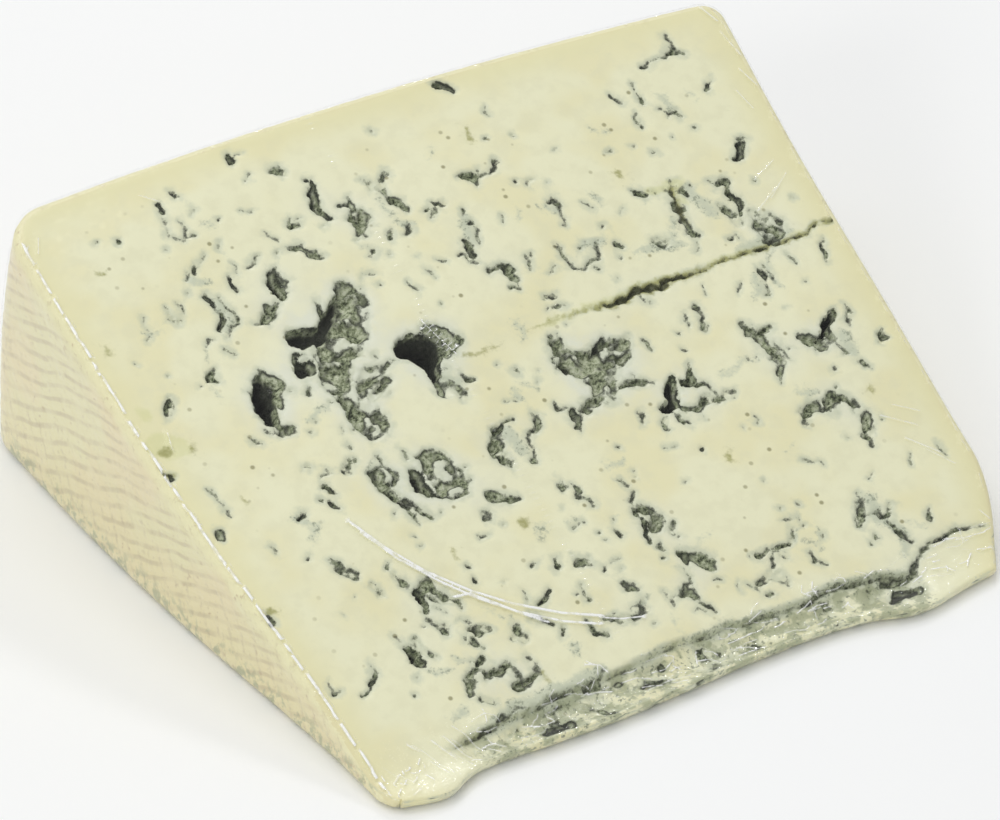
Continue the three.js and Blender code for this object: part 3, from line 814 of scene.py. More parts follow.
def place_shares(x, r):
    """Distances of a place on the cut to its left, its right, its rim and its nose."""
    left, right = left_side(r), right_side(r)
    across = (x - left) / (right - left)
    nominal = -LEFT_AT_NOSE + (LEFT_AT_NOSE + RIGHT_AT_NOSE) * across
    return x - left, right - x, rim_mould_and_shade(nominal) - r, r - nose_line(nominal)


def rind_distance(x, r):
    to_left, to_right, to_rim, _ = place_shares(x, r)
    return np.minimum(np.minimum(to_left, to_right), to_rim)


def inner_distance(x, r):
    return np.minimum(rind_distance(x, r), place_shares(x, r)[3])


def random_chain(rng, half, steps, stride):
    """A short walk in a random direction that starts where the paste is loose."""
    while True:
        x, r = rng.uniform(*WALK_X), rng.uniform(*WALK_R)
        dense = smooth((float(rind_distance(np.array(x), np.array(r))) - DENSE_RIND) / DENSE_FADE)
        if rng.random() < dense:
            break
    heading = rng.uniform(0, 2 * math.pi)
    chain = []
    for k in range(steps):
        swell = math.sin(math.pi * (k + 1) / (steps + 1))
        chain.append((x, r, half * (WALK_THIN + (1 - WALK_THIN) * swell) * rng.uniform(*WALK_UNEVEN)))
        heading += rng.uniform(-WALK_TURN, WALK_TURN)
        x, r = x + stride * math.cos(heading), r + stride * math.sin(heading)
    return chain


def scatter(fields, rng, seeds):
    """Stamp many short walks on a sheet, as openings or as stains."""
    for count, kind, halves, places, strides in seeds:
        for _ in range(count):
            half = rng.uniform(*halves)
            stride = rng.uniform(*strides) if len(strides) == 2 else strides[0]
            chain = random_chain(rng, half, places, stride)
            stamp = stamp_opening if kind in KINDS else stamp_stain
            stamp(fields, kind, chain)


rng = np.random.default_rng(20)
scatter(upper, rng, UPPER_SEEDS)
for x, r, half in scaled(LUMPS):
    stamp_lump(upper, x, r, half)
for kind, chain in STAINS:
    stamp_stain(upper, kind, scaled(chain))
lower = blank_fields(51)
scatter(lower, rng, LOWER_SEEDS)
print("open places on the upper and lower cut:", *(int((f["opening"] < 0).sum()) for f in (upper, lower)))

# %% [markdown]
# ## The torn nose
# A wedge breaks at its tip, because there the paste is thinner than a finger. A strip along the
# nose has come away and lies a millimetre lower, behind a ledge that a dark crack follows. The
# strip is crumbs and lumps rather than cut paste. It is relief on the same mesh: noise makes the
# lumps, and the valleys between them count as open, so that mould colours them too.

# %% The ledge behind the torn strip
LEDGE_FROM, LEDGE_TO, LEDGE_DROP = -38.0, 33.0, 0.9
LEDGE_PATH = [(-40.0, 7.6), (-33.0, 8.3), (-27.0, 8.7), (-22.0, 9.3), (-14.0, 9.2), (-9.0, 9.6), (-4.0, 9.9),
              (2.0, 9.8), (8.0, 9.4), (16.0, 9.1), (22.0, 9.4), (27.0, 8.7), (30.0, 7.8), (33.0, 6.8)]
LEDGE_LEFT_FADE, LEDGE_RIGHT_FADE, LEDGE_FOOT = 4.0, 3.0, 3.0
LEDGE_WANDER = ((0.22, 2.3), (0.1, 0.8))
PASTE_STEP, FILM_STEP = 0.5, 2.0


def ledge_edge(x):
    """How far from the wheel's axis the ledge runs."""
    path = np.array(LEDGE_PATH) * sketch_scale
    return np.interp(x, path[:, 0], path[:, 1]) + layered(0.0, x, 0 * x, 74, *LEDGE_WANDER)


def ledge_share(x, r, step=FILM_STEP):
    """1 in front of the ledge and 0 behind it, with a sharp step in the paste and a soft one in the film."""
    inside = smooth((x - LEDGE_FROM) / LEDGE_LEFT_FADE) * smooth((LEDGE_TO - x) / LEDGE_RIGHT_FADE)
    return inside * smooth((r - LEDGE_FOOT) / LEDGE_FOOT) * smooth((ledge_edge(x) - r) / step)


print("the ledge runs this far from the axis, mm:", np.round(ledge_edge(np.array([-30.0, 0.0, 30.0])), 1))

# %% [markdown]
# ### The crack and the crumbs
# A crack follows the foot of the ledge. It is nearly closed for most of its length and gapes in two
# places. In front of it the strip is clods: where the noise is high a clod stands up, and where it
# is low there is a mouldy valley.

# %% The crack under the ledge and the crumbled strip
STRIP_INSET, STRIP_FADE = 1.0, 5.0
CRACK_PLACE, CRACK_HALF, CRACK_DEPTH, CRACK_STEEP = 0.45, 0.2, 0.9, 2.0
# where the crack gapes: a place, a reach and an amount
CRACK_CLOSED, CRACK_GAPES = 0.25, [(-21.0, 8.0, 0.75), (21.0, 10.0, 0.85)]
CRUMB_FROM, CRUMB_FADE = 0.9, 0.8
CLOD_LAYERS, CLOD_STRETCH, CLOD_SIZE = ((0.55, 1.1), (0.3, 0.55)), 0.8, 2.6

x, r = upper["x"], upper["r"]
strip = smooth((x - LEDGE_FROM - STRIP_INSET) / STRIP_FADE) * smooth((LEDGE_TO - x) / LEDGE_RIGHT_FADE)
below = ledge_edge(x) - r
grown = sum((more * np.exp(-(((x - at) / reach) ** 2)) for at, reach, more in CRACK_GAPES), CRACK_CLOSED)
uneven = 0.8 + 0.6 * noise(x, r, 3.2, 76)
crack = np.abs(below - CRACK_PLACE) - CRACK_HALF * grown * uneven + 0.14 * upper["fringe"]
crack = np.where(strip > 0.3, crack, FAR)
upper["opening"] = np.minimum(upper["opening"], crack)
crack_depth = np.minimum(CRACK_DEPTH, CRACK_STEEP * np.maximum(0.0, -crack))
upper["depth"] = np.maximum(upper["depth"], crack_depth)
along_ledge = 0.75 * strip * smooth(1.25 - np.abs(below - 0.5) / 1.3)
upper["grey"] = np.maximum(upper["grey"], along_ledge * smooth(0.9 + noise(x, r, 3.0, 77)))
upper["strip"] = strip * smooth((below + 0.2) / 0.6)
strip = strip * smooth((below - CRUMB_FROM) / CRUMB_FADE)
clods = layered(noise(x * CLOD_STRETCH, r, CLOD_SIZE, 71), x, r, 72, *CLOD_LAYERS)
valley = (0.62 + clods) / 0.8
upper["opening"] = np.where(strip > 0.5, np.minimum(upper["opening"], valley), upper["opening"])
crumble = strip * np.clip(0.3 - 0.5 * clods, -0.25, 1.0)
upper["depth"] = np.maximum(upper["depth"], crumble)
print("the crack and the crumbs open, mm2:", round(float(((strip > 0.5) & (valley < 0)).sum()) * STEP**2))

# %% [markdown]
# ### Undercut walls and the haze around the openings
# The knife crossed the gaps at a slant, so in most of them one wall hangs over and the deepest line
# isn't in the middle. Shifting the depth sideways inside each opening gives that. The paste around
# a crowd of openings is cooler in colour, which is a blurred picture of where the openings are.

# %% Undercut walls, room for the depth, and haze
UNDERCUT, UNDERCUT_SHARE, UNDERCUT_RIM = 3, 0.65, 0.15
HAZE_REACH = 2.2
LEAST_ROOM, ROOM_SHARE = 0.3, 0.45
LOWER_FROM, LOWER_FADE = 8.0, 6.0


def softened(grid, steps):
    for _ in range(steps):
        sideways = np.roll(grid, 1, 1) + np.roll(grid, -1, 1)
        grid = (grid + np.roll(grid, 1, 0) + np.roll(grid, -1, 0) + sideways) / 5
    return grid


def blurred(grid, size):
    """The grid under a round blur of this size, worked out on its waves."""
    rows, columns = grid.shape
    wave_r = np.fft.fftfreq(rows, STEP)[:, None]
    wave_x = np.fft.rfftfreq(columns, STEP)[None, :]
    weight = np.exp(-2.0 * (math.pi * size) ** 2 * (wave_r**2 + wave_x**2))
    return np.fft.irfft2(np.fft.rfft2(grid) * weight, s=grid.shape)


lower["depth"] *= smooth((lower["r"] - LOWER_FROM) / LOWER_FADE)
for fields in (upper, lower):
    is_open = fields["opening"] < 0.0
    torn_side = np.roll(fields["depth"], -UNDERCUT, axis=1) * smooth(-fields["opening"] / UNDERCUT_RIM)
    slanted = (1 - UNDERCUT_SHARE) * fields["depth"] + UNDERCUT_SHARE * torn_side
    # the slanted depth, before the room below clamps it, is kept for the colour, where it drives the painted
    # shade of the floors
    fields["deep"] = np.where(is_open, slanted, fields["depth"])
    room = np.maximum(LEAST_ROOM, ROOM_SHARE * CUT_ANGLE * fields["r"])
    fields["depth"] = np.minimum(fields["deep"], room)
    fields["dark"] = softened(fields["dark"], 4)
    fields["haze"] = np.clip(blurred(is_open.astype(float), HAZE_REACH), 0.0, 1.0)
print("deepest opening of the upper cut, mm:", round(float(upper["depth"].max()), 2))

# %% [markdown]
# ## Points where they are needed
# An opening half a millimetre wide needs points every fifth of a millimetre, and plain paste needs
# hardly any. A regular grid fine enough for the rims would be a million triangles. So the points
# are chosen: a row exactly on each rim, rows close to it on both sides, and a wider and wider
# scatter further out. A Delaunay triangulation joins them within the outline.

# %% Adaptive points on a cut
# spacing, and the distances from a rim between which it is used
UPPER_BANDS = [(0.24, -0.65, -0.09), (0.36, -9.0, -0.65), (0.24, 0.09, 0.3), (0.5, 0.3, 1.0),
               (0.95, 1.0, 2.2), (1.7, 2.2, 9.0)]
LOWER_BANDS = [(0.5, -0.8, -0.15), (0.85, -9.0, -0.8), (0.55, 0.15, 0.5), (1.1, 0.5, 1.5),
               (2.2, 1.5, 9.0)]
STAIN_BANDS = [(0.45, ("olive", "pale")), (0.9, ("grey",))]
UPPER_RIM_SPACING, LOWER_RIM_SPACING = 0.2, 0.4
BORDER_GAP, CLOSEST, SHAKE_SHARE = 1.2, 0.12, 0.16
ROW_PITCH = 0.866  # distance between staggered rows, as a share of the spacing
LEAST_SLOPE = 0.35


def staggered(spacing):
    """Places over the whole sheet, in rows that are shifted like bricks."""
    rows = np.arange(FIELD_R[0], FIELD_R[1], spacing * ROW_PITCH)
    columns = np.arange(FIELD_X[0], FIELD_X[1], spacing)
    x, r = np.meshgrid(columns, rows)
    x = x + (np.arange(len(rows)) % 2)[:, None] * spacing * 0.5
    return x.ravel(), r.ravel()


def thinned(points, cell):
    """The first point in each square cell, and none of the others."""
    key = np.floor(points / cell).astype(np.int64)
    _, first = np.unique(key[:, 0] * 100003 + key[:, 1], return_index=True)
    return points[np.sort(first)]


def cut_points(fields, bands, rim_spacing, rng):
    grad_r, grad_x = np.gradient(fields["opening"], STEP)
    slopes = {"gx": grad_x, "gr": grad_r}
    x, r = staggered(rim_spacing)
    gap = sample(fields, "opening", x, r)
    near = (np.abs(gap) < 0.55 * rim_spacing) & (inner_distance(x, r) > BORDER_GAP)
    x, r, gap = x[near], r[near], gap[near]
    for _ in range(2):
        gx, gr = sample(slopes, "gx", x, r), sample(slopes, "gr", x, r)
        push = sample(fields, "opening", x, r) / np.maximum(LEAST_SLOPE, gx * gx + gr * gr)
        x, r = x - push * gx, r - push * gr
    sets = [thinned(np.stack([x, r], axis=-1), 0.8 * rim_spacing)]
    for spacing, low, high in bands:
        x, r = staggered(spacing)
        keep = inner_distance(x, r) > max(BORDER_GAP, 0.75 * spacing)
        x, r = x[keep], r[keep]
        shake = SHAKE_SHARE * spacing
        x, r = x + rng.uniform(-shake, shake, len(x)), r + rng.uniform(-shake, shake, len(r))
        gap = sample(fields, "opening", x, r)
        inside = (gap >= low) & (gap < high)
        sets.append(np.stack([x[inside], r[inside]], axis=-1))
    for spacing, names in STAIN_BANDS:
        x, r = staggered(spacing)
        stained = sum(sample(fields, name, x, r) for name in names) > 0.1
        keep = stained & (sample(fields, "opening", x, r) > 0.4) & (inner_distance(x, r) > BORDER_GAP)
        sets.append(np.stack([x[keep], r[keep]], axis=-1))
    return thinned(np.vstack(sets), CLOSEST)


upper_points = cut_points(upper, UPPER_BANDS, UPPER_RIM_SPACING, np.random.default_rng(31))
lower_points = cut_points(lower, LOWER_BANDS, LOWER_RIM_SPACING, np.random.default_rng(32))
print("points inside the upper and the lower cut:", len(upper_points), len(lower_points))

# %% [markdown]
# ## One closed skin
# The two cuts are sheets, and the nose, the flat faces and the rim are one band that runs around
# between them. Made as separate objects they would leave hairline gaps at the edges, which show
# in an exported model. Here the sheets and the band share the points of two rings, so the wedge
# is one closed mesh. The band is unrolled flat to be triangulated, just as the cuts are. The same
# function later makes the film, with other points and no clearance.

# %% The band that runs around the wedge
CLEARANCE = 0.22  # between the cheese and the film
EDGE_SOFTNESS = 0.9  # the film rounds the knife edges by this much
THIN_SHARE = 0.35  # but never more than this share of the thickness is rounded
EDGE_STEPS = (0.05, 0.18, 0.42, 1.0)
STEPS_ON_STATIONS = (0.05, 1.0)
RIM_START, RIM_FADE, FACE_FADE, DETAIL_FADE = 60.0, 35.0, 40.0, 1.2
SEAM_MARGIN, TALLEST = 0.5, 42


def triangulate(border, inner):
    """Triangles that fill a closed border and use every point inside it."""
    coords = [Vector((float(a), float(b))) for a, b in np.vstack([border, inner])]
    loop = list(range(len(border)))
    result = geometry.delaunay_2d_cdt(coords, [], [loop], 1, 1e-6)
    origin = np.array([entry[0] for entry in result[3]])
    return origin[np.array(result[2])]


class Band:
    """The unrolled wall: stations round the outline with their thickness and softness."""

    def __init__(self, spacing, clearance):
        self.places, self.inward, self.run, self.length = outline(spacing)
        self.count = len(self.places)
        x, r = self.places.T
        self.thick = CUT_ANGLE * r + self.relief(x, r)
        self.soft = np.minimum(EDGE_SOFTNESS, THIN_SHARE * self.thick)
        self.clearance = clearance

    @staticmethod
    def relief(x, r):
        return cut_relief(x, r) - LEDGE_DROP * ledge_share(x, r)

    def at(self, values, s):
        """A value of the stations at any distance round the outline."""
        closed = np.concatenate([values, values[:1]])
        return np.interp(np.mod(s, self.length), np.append(self.run, self.length), closed)

    def place(self, s, z, detail):
        """Points of the wall at a distance s round the outline and a height z up it."""
        x, r = self.at(self.places[:, 0], s), self.at(self.places[:, 1], s)
        nx, nr = self.at(self.inward[:, 0], s), self.at(self.inward[:, 1], s)
        size = np.hypot(nx, nr)
        nx, nr = nx / size, nr / size
        thick, soft = self.at(self.thick, s), self.at(self.soft, s)
        rise = np.clip(z / thick, 0.0, 1.0)
        to_edge = np.minimum(z, thick - z)
        short = np.clip(soft - to_edge, 0.0, soft)
        inset = soft - np.sqrt(np.maximum(0.0, soft * soft - short * short))
        swell = np.sin(math.pi * rise)
        out = RIM_BULGE * swell * smooth((r - RIM_START) / RIM_FADE) * np.maximum(0.0, -nr)
        out = out - FACE_SAG * swell * np.abs(nx) * smooth(r / FACE_FADE)
        out = out + detail(x, r, nx, nr, z) * smooth(to_edge / DETAIL_FADE)
        shift = inset + self.clearance - out
        x, r = x + nx * shift, r + nr * shift
        lift = self.relief(x, r) * rise + self.clearance * (1.0 - 2.0 * rise)
        return x, r, rise, lift

    def inner_points(self, spacing):
        """Places on the unrolled wall: rows along both edges, and a staggered filling."""
        rows = []
        for share in EDGE_STEPS:
            s = self.run[1:] if share in STEPS_ON_STATIONS else self.run[1:] - 0.5 * self.run[1]
            soft, thick = self.at(self.soft, s), self.at(self.thick, s)
            rows.append(np.stack([s, share * soft], axis=-1))
            rows.append(np.stack([s, thick - share * soft], axis=-1))
        around = np.arange(SEAM_MARGIN, self.length - SEAM_MARGIN, spacing)
        s, z = np.meshgrid(around, np.arange(0, TALLEST, ROW_PITCH * spacing))
        s = s + (np.arange(s.shape[0]) % 2)[:, None] * 0.5 * spacing
        s, z = s.ravel(), z.ravel()
        margin = self.at(self.soft, s) + 0.6 * spacing
        keep = (z > margin) & (z < self.at(self.thick, s) - margin) & (s < self.length - 0.3)
        rows.append(np.stack([s[keep], z[keep]], axis=-1))
        return np.vstack(rows)


cheese_band = Band(STATION_SPACING, CLEARANCE)
print("stations of the wall:", cheese_band.count, "tallest, mm:", round(float(cheese_band.thick.max()), 1))

# %% [markdown]
# ### Joining the sheets and the band
# The points are collected in five parts: the two rings, the wall between them and the two sheets.
# Each part is triangulated in its own flat picture, and the corner numbers are then shifted to where
# that part begins in the whole list. The rings are used by two parts each, which closes the skin.

# %% Building a closed wedge from points and height functions
TOP, BOTTOM, WALL = 0, 1, 2


def closed_wedge(band, wall_spacing, detail, top_points, top_lift, low_points, low_lift):
    """Vertices in wheel millimetres, triangles, and what part and place each came from."""
    n = band.count
    stations = np.arange(n)
    low_ring = band.place(band.run, np.zeros(n), detail)
    high_ring = band.place(band.run, band.thick, detail)
    wall = band.inner_points(wall_spacing)
    tx, tr = top_points.T
    bx, br = low_points.T
    parts = [
        low_ring,
        high_ring,
        band.place(wall[:, 0], wall[:, 1], detail),
        (tx, tr, np.ones_like(tx), top_lift(tx, tr)),
        (bx, br, np.zeros_like(bx), low_lift(bx, br)),
    ]
    starts = np.cumsum([0] + [len(p[0]) for p in parts])
    x, r, rise, lift = (np.concatenate([p[k] for p in parts]) for k in range(4))
    points = body_point(x, r, rise, lift)

    top = triangulate(np.stack(high_ring[:2], axis=-1), top_points)
    top = np.where(top < n, top + starts[1], top - n + starts[3])
    low = triangulate(np.stack(low_ring[:2], axis=-1), low_points)
    low = np.where(low < n, low, low - n + starts[4])[:, ::-1]

    # The unrolled border: along the low ring, up the seam, back along the high ring.
    run = np.append(band.run, band.length)
    border = np.vstack([
        np.stack([run, np.zeros(n + 1)], axis=-1),
        np.stack([run, np.append(band.thick, band.thick[:1])], axis=-1)[::-1],
    ])
    numbers = np.concatenate([
        stations, [0], [starts[1]], stations[::-1] + starts[1], starts[2] + np.arange(len(wall)),
    ])
    side = numbers[triangulate(border, wall)]

    triangles = np.vstack([top, low, side])
    region = np.repeat([TOP, BOTTOM, WALL], [len(top), len(low), len(side)])
    return points, triangles, region, (x, r, rise), starts


def on_upper_cut(starts, count):
    """True for the points of the high ring and of the upper sheet."""
    mask = np.zeros(count, dtype=bool)
    mask[starts[1]:starts[2]] = True
    mask[starts[3]:starts[4]] = True
    return mask


def to_frame(points):
    """From wheel millimetres to the frame's metres, centred on the CAD box."""
    middle = 0.5 * (points.min(axis=0) + points.max(axis=0))
    goal = 0.5 * (np.array(box_low) + np.array(box_high))
    shift = np.array([goal[0] / MM - middle[0], goal[1] / MM - middle[1], 0.0])
    return (points + shift) * MM, shift


def make_object(name, points, triangles, sharp_degrees):
    """A smooth-shaded object whose creases stay sharp above an angle."""
    mesh = bpy.data.meshes.new(name)
    mesh.from_pydata(points.tolist(), [], triangles.tolist())
    mesh.update()
    mesh.polygons.foreach_set("use_smooth", np.ones(len(triangles), dtype=bool))
    mesh.set_sharp_from_angle(angle=math.radians(sharp_degrees))
    piece = bpy.data.objects.new(name, mesh)
    bpy.context.collection.objects.link(piece)
    return piece


def store(mesh, name, values):
    layer = mesh.attributes.new(name, "FLOAT", "POINT")
    layer.data.foreach_set("value", np.asarray(values, dtype=np.float32))


def open_edges(triangles):
    """How many edges don't join exactly two triangles. A closed mesh has none."""
    edges = np.sort(np.vstack([triangles[:, pair] for pair in ([0, 1], [1, 2], [2, 0])]), axis=1)
    _, counts = np.unique(edges[:, 0] * len(edges) + edges[:, 1], return_counts=True)
    return int((counts != 2).sum())


print("a cube with one side missing has open edges:", open_edges(np.array([[0, 1, 2], [0, 2, 3]])))

# %% [markdown]
# ## The rind's relief
# The flat faces of the wheel stood on a draining mat, and its strands printed a slanting row of
# shallow grooves a couple of millimetres apart. The rim was only rubbed and turned, so it is
# pebbly. Both are real relief here, deep enough to catch the light at the edges, and finer grain
# is left to the material.

# %% Relief of the rind
MAT_PITCH, MAT_SLANT, MAT_DEPTH = 2.3, math.radians(26.0), 0.08
MAT_WANDER, MAT_FROM, MAT_FADE = ((0.55, 7.0), (0.25, 2.5)), 9.0, 8.0
FACE_GRAIN, PEBBLE, CRUMB_HEIGHT = 0.05, 0.24, 0.3
CRUMB_LEFT, CRUMB_RIGHT, CRUMB_ENDS = -38.0, 36.0, 5.0


def mat_phase(r, z):
    """Which strand of the mat lies at a place of a flat face, counted from the nose."""
    wander = layered(0.0, r, z, 81, *MAT_WANDER)
    return (r * math.sin(MAT_SLANT) + z * math.cos(MAT_SLANT) + wander) / MAT_PITCH


def rind_detail(x, r, nx, nr, z):
    """How far the flat faces, the rim and the torn nose stand out, from the direction they face."""
    on_face = np.abs(nx) ** 3 * smooth((r - MAT_FROM) / MAT_FADE)
    groove = np.clip(np.cos(2 * math.pi * mat_phase(r, z)), 0.0, 1.0) ** 2
    worn = 0.6 + 0.4 * noise(r, z, 5.0, 83)
    face = -MAT_DEPTH * groove * worn + FACE_GRAIN * noise(r, z, 1.1, 84)
    back = PEBBLE * (layered(0.0, x, z, 85, (0.5, 2.4), (0.5, 1.0)) - 0.3)
    torn = smooth((x - CRUMB_LEFT) / CRUMB_ENDS) * smooth((CRUMB_RIGHT - x) / CRUMB_ENDS)
    crumbs = CRUMB_HEIGHT * (noise(x, z, 1.6, 87) + 0.5 * noise(x, z, 0.8, 118)) * torn
    return on_face * face + np.maximum(0.0, -nr) * back + np.maximum(0.0, nr) * (crumbs - 0.1)


print("the deepest groove of the mat, mm:", MAT_DEPTH, "and its pitch:", MAT_PITCH)

# %% [markdown]
# ## The cheese itself
# The upper cut goes down by its depth, its rims sink a little where the knife dragged them, and the
# floors of the openings are rippled. The lower cut is seen by nobody, but it is in the mesh and goes
# up by its own depth. With these heights the closed skin can be made.

# %% The cheese's mesh
WALL_SPACING = 0.76
TOP_RIM_SINK, TOP_RIM_REACH, LOW_RIM_SINK, LOW_RIM_REACH = 0.14, 0.35, 0.1, 0.45
CUT_GRAIN, FLOOR_RIPPLE, RIPPLE_FROM = ((0.03, 1.4), (0.05, 5.0)), ((0.24, 0.95), (0.16, 0.5)), 0.9


def top_lift(x, r):
    """Height of the cheese's upper cut above the plane of the cut."""
    depth = sample(upper, "depth", x, r)
    gap = sample(upper, "opening", x, r)
    lip = -TOP_RIM_SINK * np.exp(-np.maximum(gap, 0.0) / TOP_RIM_REACH)
    grain = layered(0.0, x, r, 91, *CUT_GRAIN)
    floor = np.where(gap < 0, layered(0.0, x, r, 93, *FLOOR_RIPPLE) * smooth(depth / RIPPLE_FROM), 0.0)
    drop = LEDGE_DROP * ledge_share(x, r, PASTE_STEP)
    return cut_relief(x, r) - drop - CLEARANCE + lip + grain + floor - depth


def low_lift(x, r):
    """Height of the cheese's lower cut above the floor."""
    gap = sample(lower, "opening", x, r)
    sink = LOW_RIM_SINK * np.exp(-np.maximum(gap, 0.0) / LOW_RIM_REACH)
    return CLEARANCE + sample(lower, "depth", x, r) + sink


points, triangles, region, where, starts = closed_wedge(
    cheese_band, WALL_SPACING, rind_detail, upper_points, top_lift, lower_points, low_lift)
cheese_points, wheel_shift = to_frame(points)
cheese = make_object("cheese", cheese_points, triangles, 62)
print("cheese:", len(points), "points,", len(triangles), "triangles, open edges:", open_edges(triangles))
print("shift from the wheel to the frame, mm:", np.round(wheel_shift, 2))

# %% [markdown]
# ## What each point of the cheese knows
# A material that is only noise puts mould anywhere. Here the mesh carries what is known about each
# point: the distance to the rim of the nearest opening, the depth, how much painted shade that kind
# of opening takes with depth, the stains, and how near the rind is. The shader reads these as
# attributes. It also gets a map in which the upper cut has most of the room, so that a baked copy
# keeps its fine mould.

# %% What each point knows
CHEESE_FIELDS = ("opening", "deep", "dark", "grey", "olive", "pale", "haze", "strip")
RIND_REACH, FLAT_FADE, STRAND_PITCH = 20.0, 4.0, 2.6
NOSE_WALL, CRUMB_GAP, CRUMB_SIZES = 9.0, 0.75, ((1.0, 1.6), (0.4, 0.7))
x, r, rise = where
on_top = on_upper_cut(starts, len(x))
in_low = np.arange(len(x)) >= starts[4]
known = {}
for name in CHEESE_FIELDS:
    values = np.full(len(x), FAR if name == "opening" else 0.0)
    values[on_top] = sample(upper, name, x[on_top], r[on_top])
    values[in_low] = sample(lower, name, x[in_low], r[in_low])
    known[name] = values

# the torn nose goes on round the edge, onto the wall below the strip
nose_wall = ~(on_top | in_low) & (r < NOSE_WALL)
wall_x = x[nose_wall]
torn_wall = smooth((wall_x - LEDGE_FROM - STRIP_INSET) / STRIP_FADE)
torn_wall = torn_wall * smooth((LEDGE_TO - wall_x) / STRIP_FADE)
crumb_gap = layered(CRUMB_GAP, x, r + 40.0 * rise, 88, *CRUMB_SIZES)
known["opening"][nose_wall] = np.minimum(known["opening"][nose_wall], crumb_gap[nose_wall])
known["strip"][nose_wall] = np.maximum(known["strip"][nose_wall], torn_wall)

local_height = CUT_ANGLE * np.maximum(r, 0.0)
height = rise * local_height
to_left, to_right, to_rim, _ = place_shares(x, r)
known["from_rind"] = np.clip(rind_distance(x, r), 0.0, RIND_REACH)
known["above_base"] = height
known["below_cut"] = local_height - height
known["flat"] = smooth((to_rim - np.minimum(to_left, to_right)) / FLAT_FADE)
known["mat"] = mat_phase(r, height)
known["cross"] = (height * math.sin(MAT_SLANT) - r * math.cos(MAT_SLANT)) / STRAND_PITCH
for name, values in known.items():
    store(cheese.data, name, values)
print("each point of the cheese knows:", ", ".join(known))

# %% [markdown]
# ### Which faces are rind
# The wall of the wedge is rind wherever the wheel had its skin: on the two flat faces and on the
# rim. The thin nose is paste, because it comes from the middle of the wheel.

# %% Materials by face
FLAT_SHARE, NOSE_END, PASTE_TIP = 0.7, 20.0, 4.0
PASTE_SLOT, RIND_SLOT = 0, 1
corners = cheese_points[triangles]
normals = np.cross(corners[:, 1] - corners[:, 0], corners[:, 2] - corners[:, 0])
normals /= np.maximum(np.linalg.norm(normals, axis=1), 1e-12)[:, None]
centre_r = r[triangles].mean(axis=1)
is_wall = region == WALL
is_flat = is_wall & (np.abs(normals[:, 0]) > FLAT_SHARE)
is_nose = is_wall & ~is_flat & (centre_r < NOSE_END)
slot_of_face = np.where(is_wall & ~is_nose & (centre_r > PASTE_TIP), RIND_SLOT, PASTE_SLOT)
cheese.data.polygons.foreach_set("material_index", slot_of_face.astype(np.int32))
print("faces of rind:", int((slot_of_face == RIND_SLOT).sum()), "of", len(triangles))

# %% [markdown]
# ### A map for baking
# A baked copy keeps its colours in one square picture. Each side of the wedge gets a rectangle of
# its own in it, and the upper cut gets the largest, at full size, because that is where one looks.

# %% The map
MAP_SIZE, MAP_LEFT, MAP_NOSE = 165.0, 55.5, 1.0
tx, tr, th = x[triangles] + MAP_LEFT, r[triangles] + MAP_NOSE, height[triangles]
is_left = is_flat & (normals[:, 0] < 0)
is_right = is_flat & (normals[:, 0] > 0)
is_rim = is_wall & ~is_flat & ~is_nose
# faces, the two directions across the map, their scale, and the corner of their rectangle
MAP_PLACES = (
    (region == TOP, tx, tr, 1.0, (0.5, 0.5)), (region == BOTTOM, tx, tr, 0.48, (113.0, 0.5)),
    (is_left, tr, th, 0.7, (0.5, 105.5)), (is_right, th, tr, 0.7, (113.0, 52.0)),
    (is_rim, tx, th, 0.7, (0.5, 134.5)), (is_nose, tx, th, 0.7, (84.0, 158.0)),
)
uv = np.zeros((len(triangles), 3, 2))
for faces, across, up, scale, corner in MAP_PLACES:
    uv[faces] = (scale * np.stack([across, up], axis=-1) + corner)[faces] / MAP_SIZE
layer = cheese.data.uv_layers.new(name="OFBake")
layer.data.foreach_set("uv", uv.astype(np.float32).ravel())
print("the map runs from", np.round(uv.min(), 3), "to", np.round(uv.max(), 3))

# %% [markdown]
# ## A short way to write materials
# Shader nodes are usually joined by hand on screen. Written as code they soon fill the page, so
# this helper gives each common node a short name. Sizes are in millimetres: the object's own
# coordinates are multiplied by a thousand, and a noise of 2 mm has the scale 1 / 2.

# %% Recipe helper


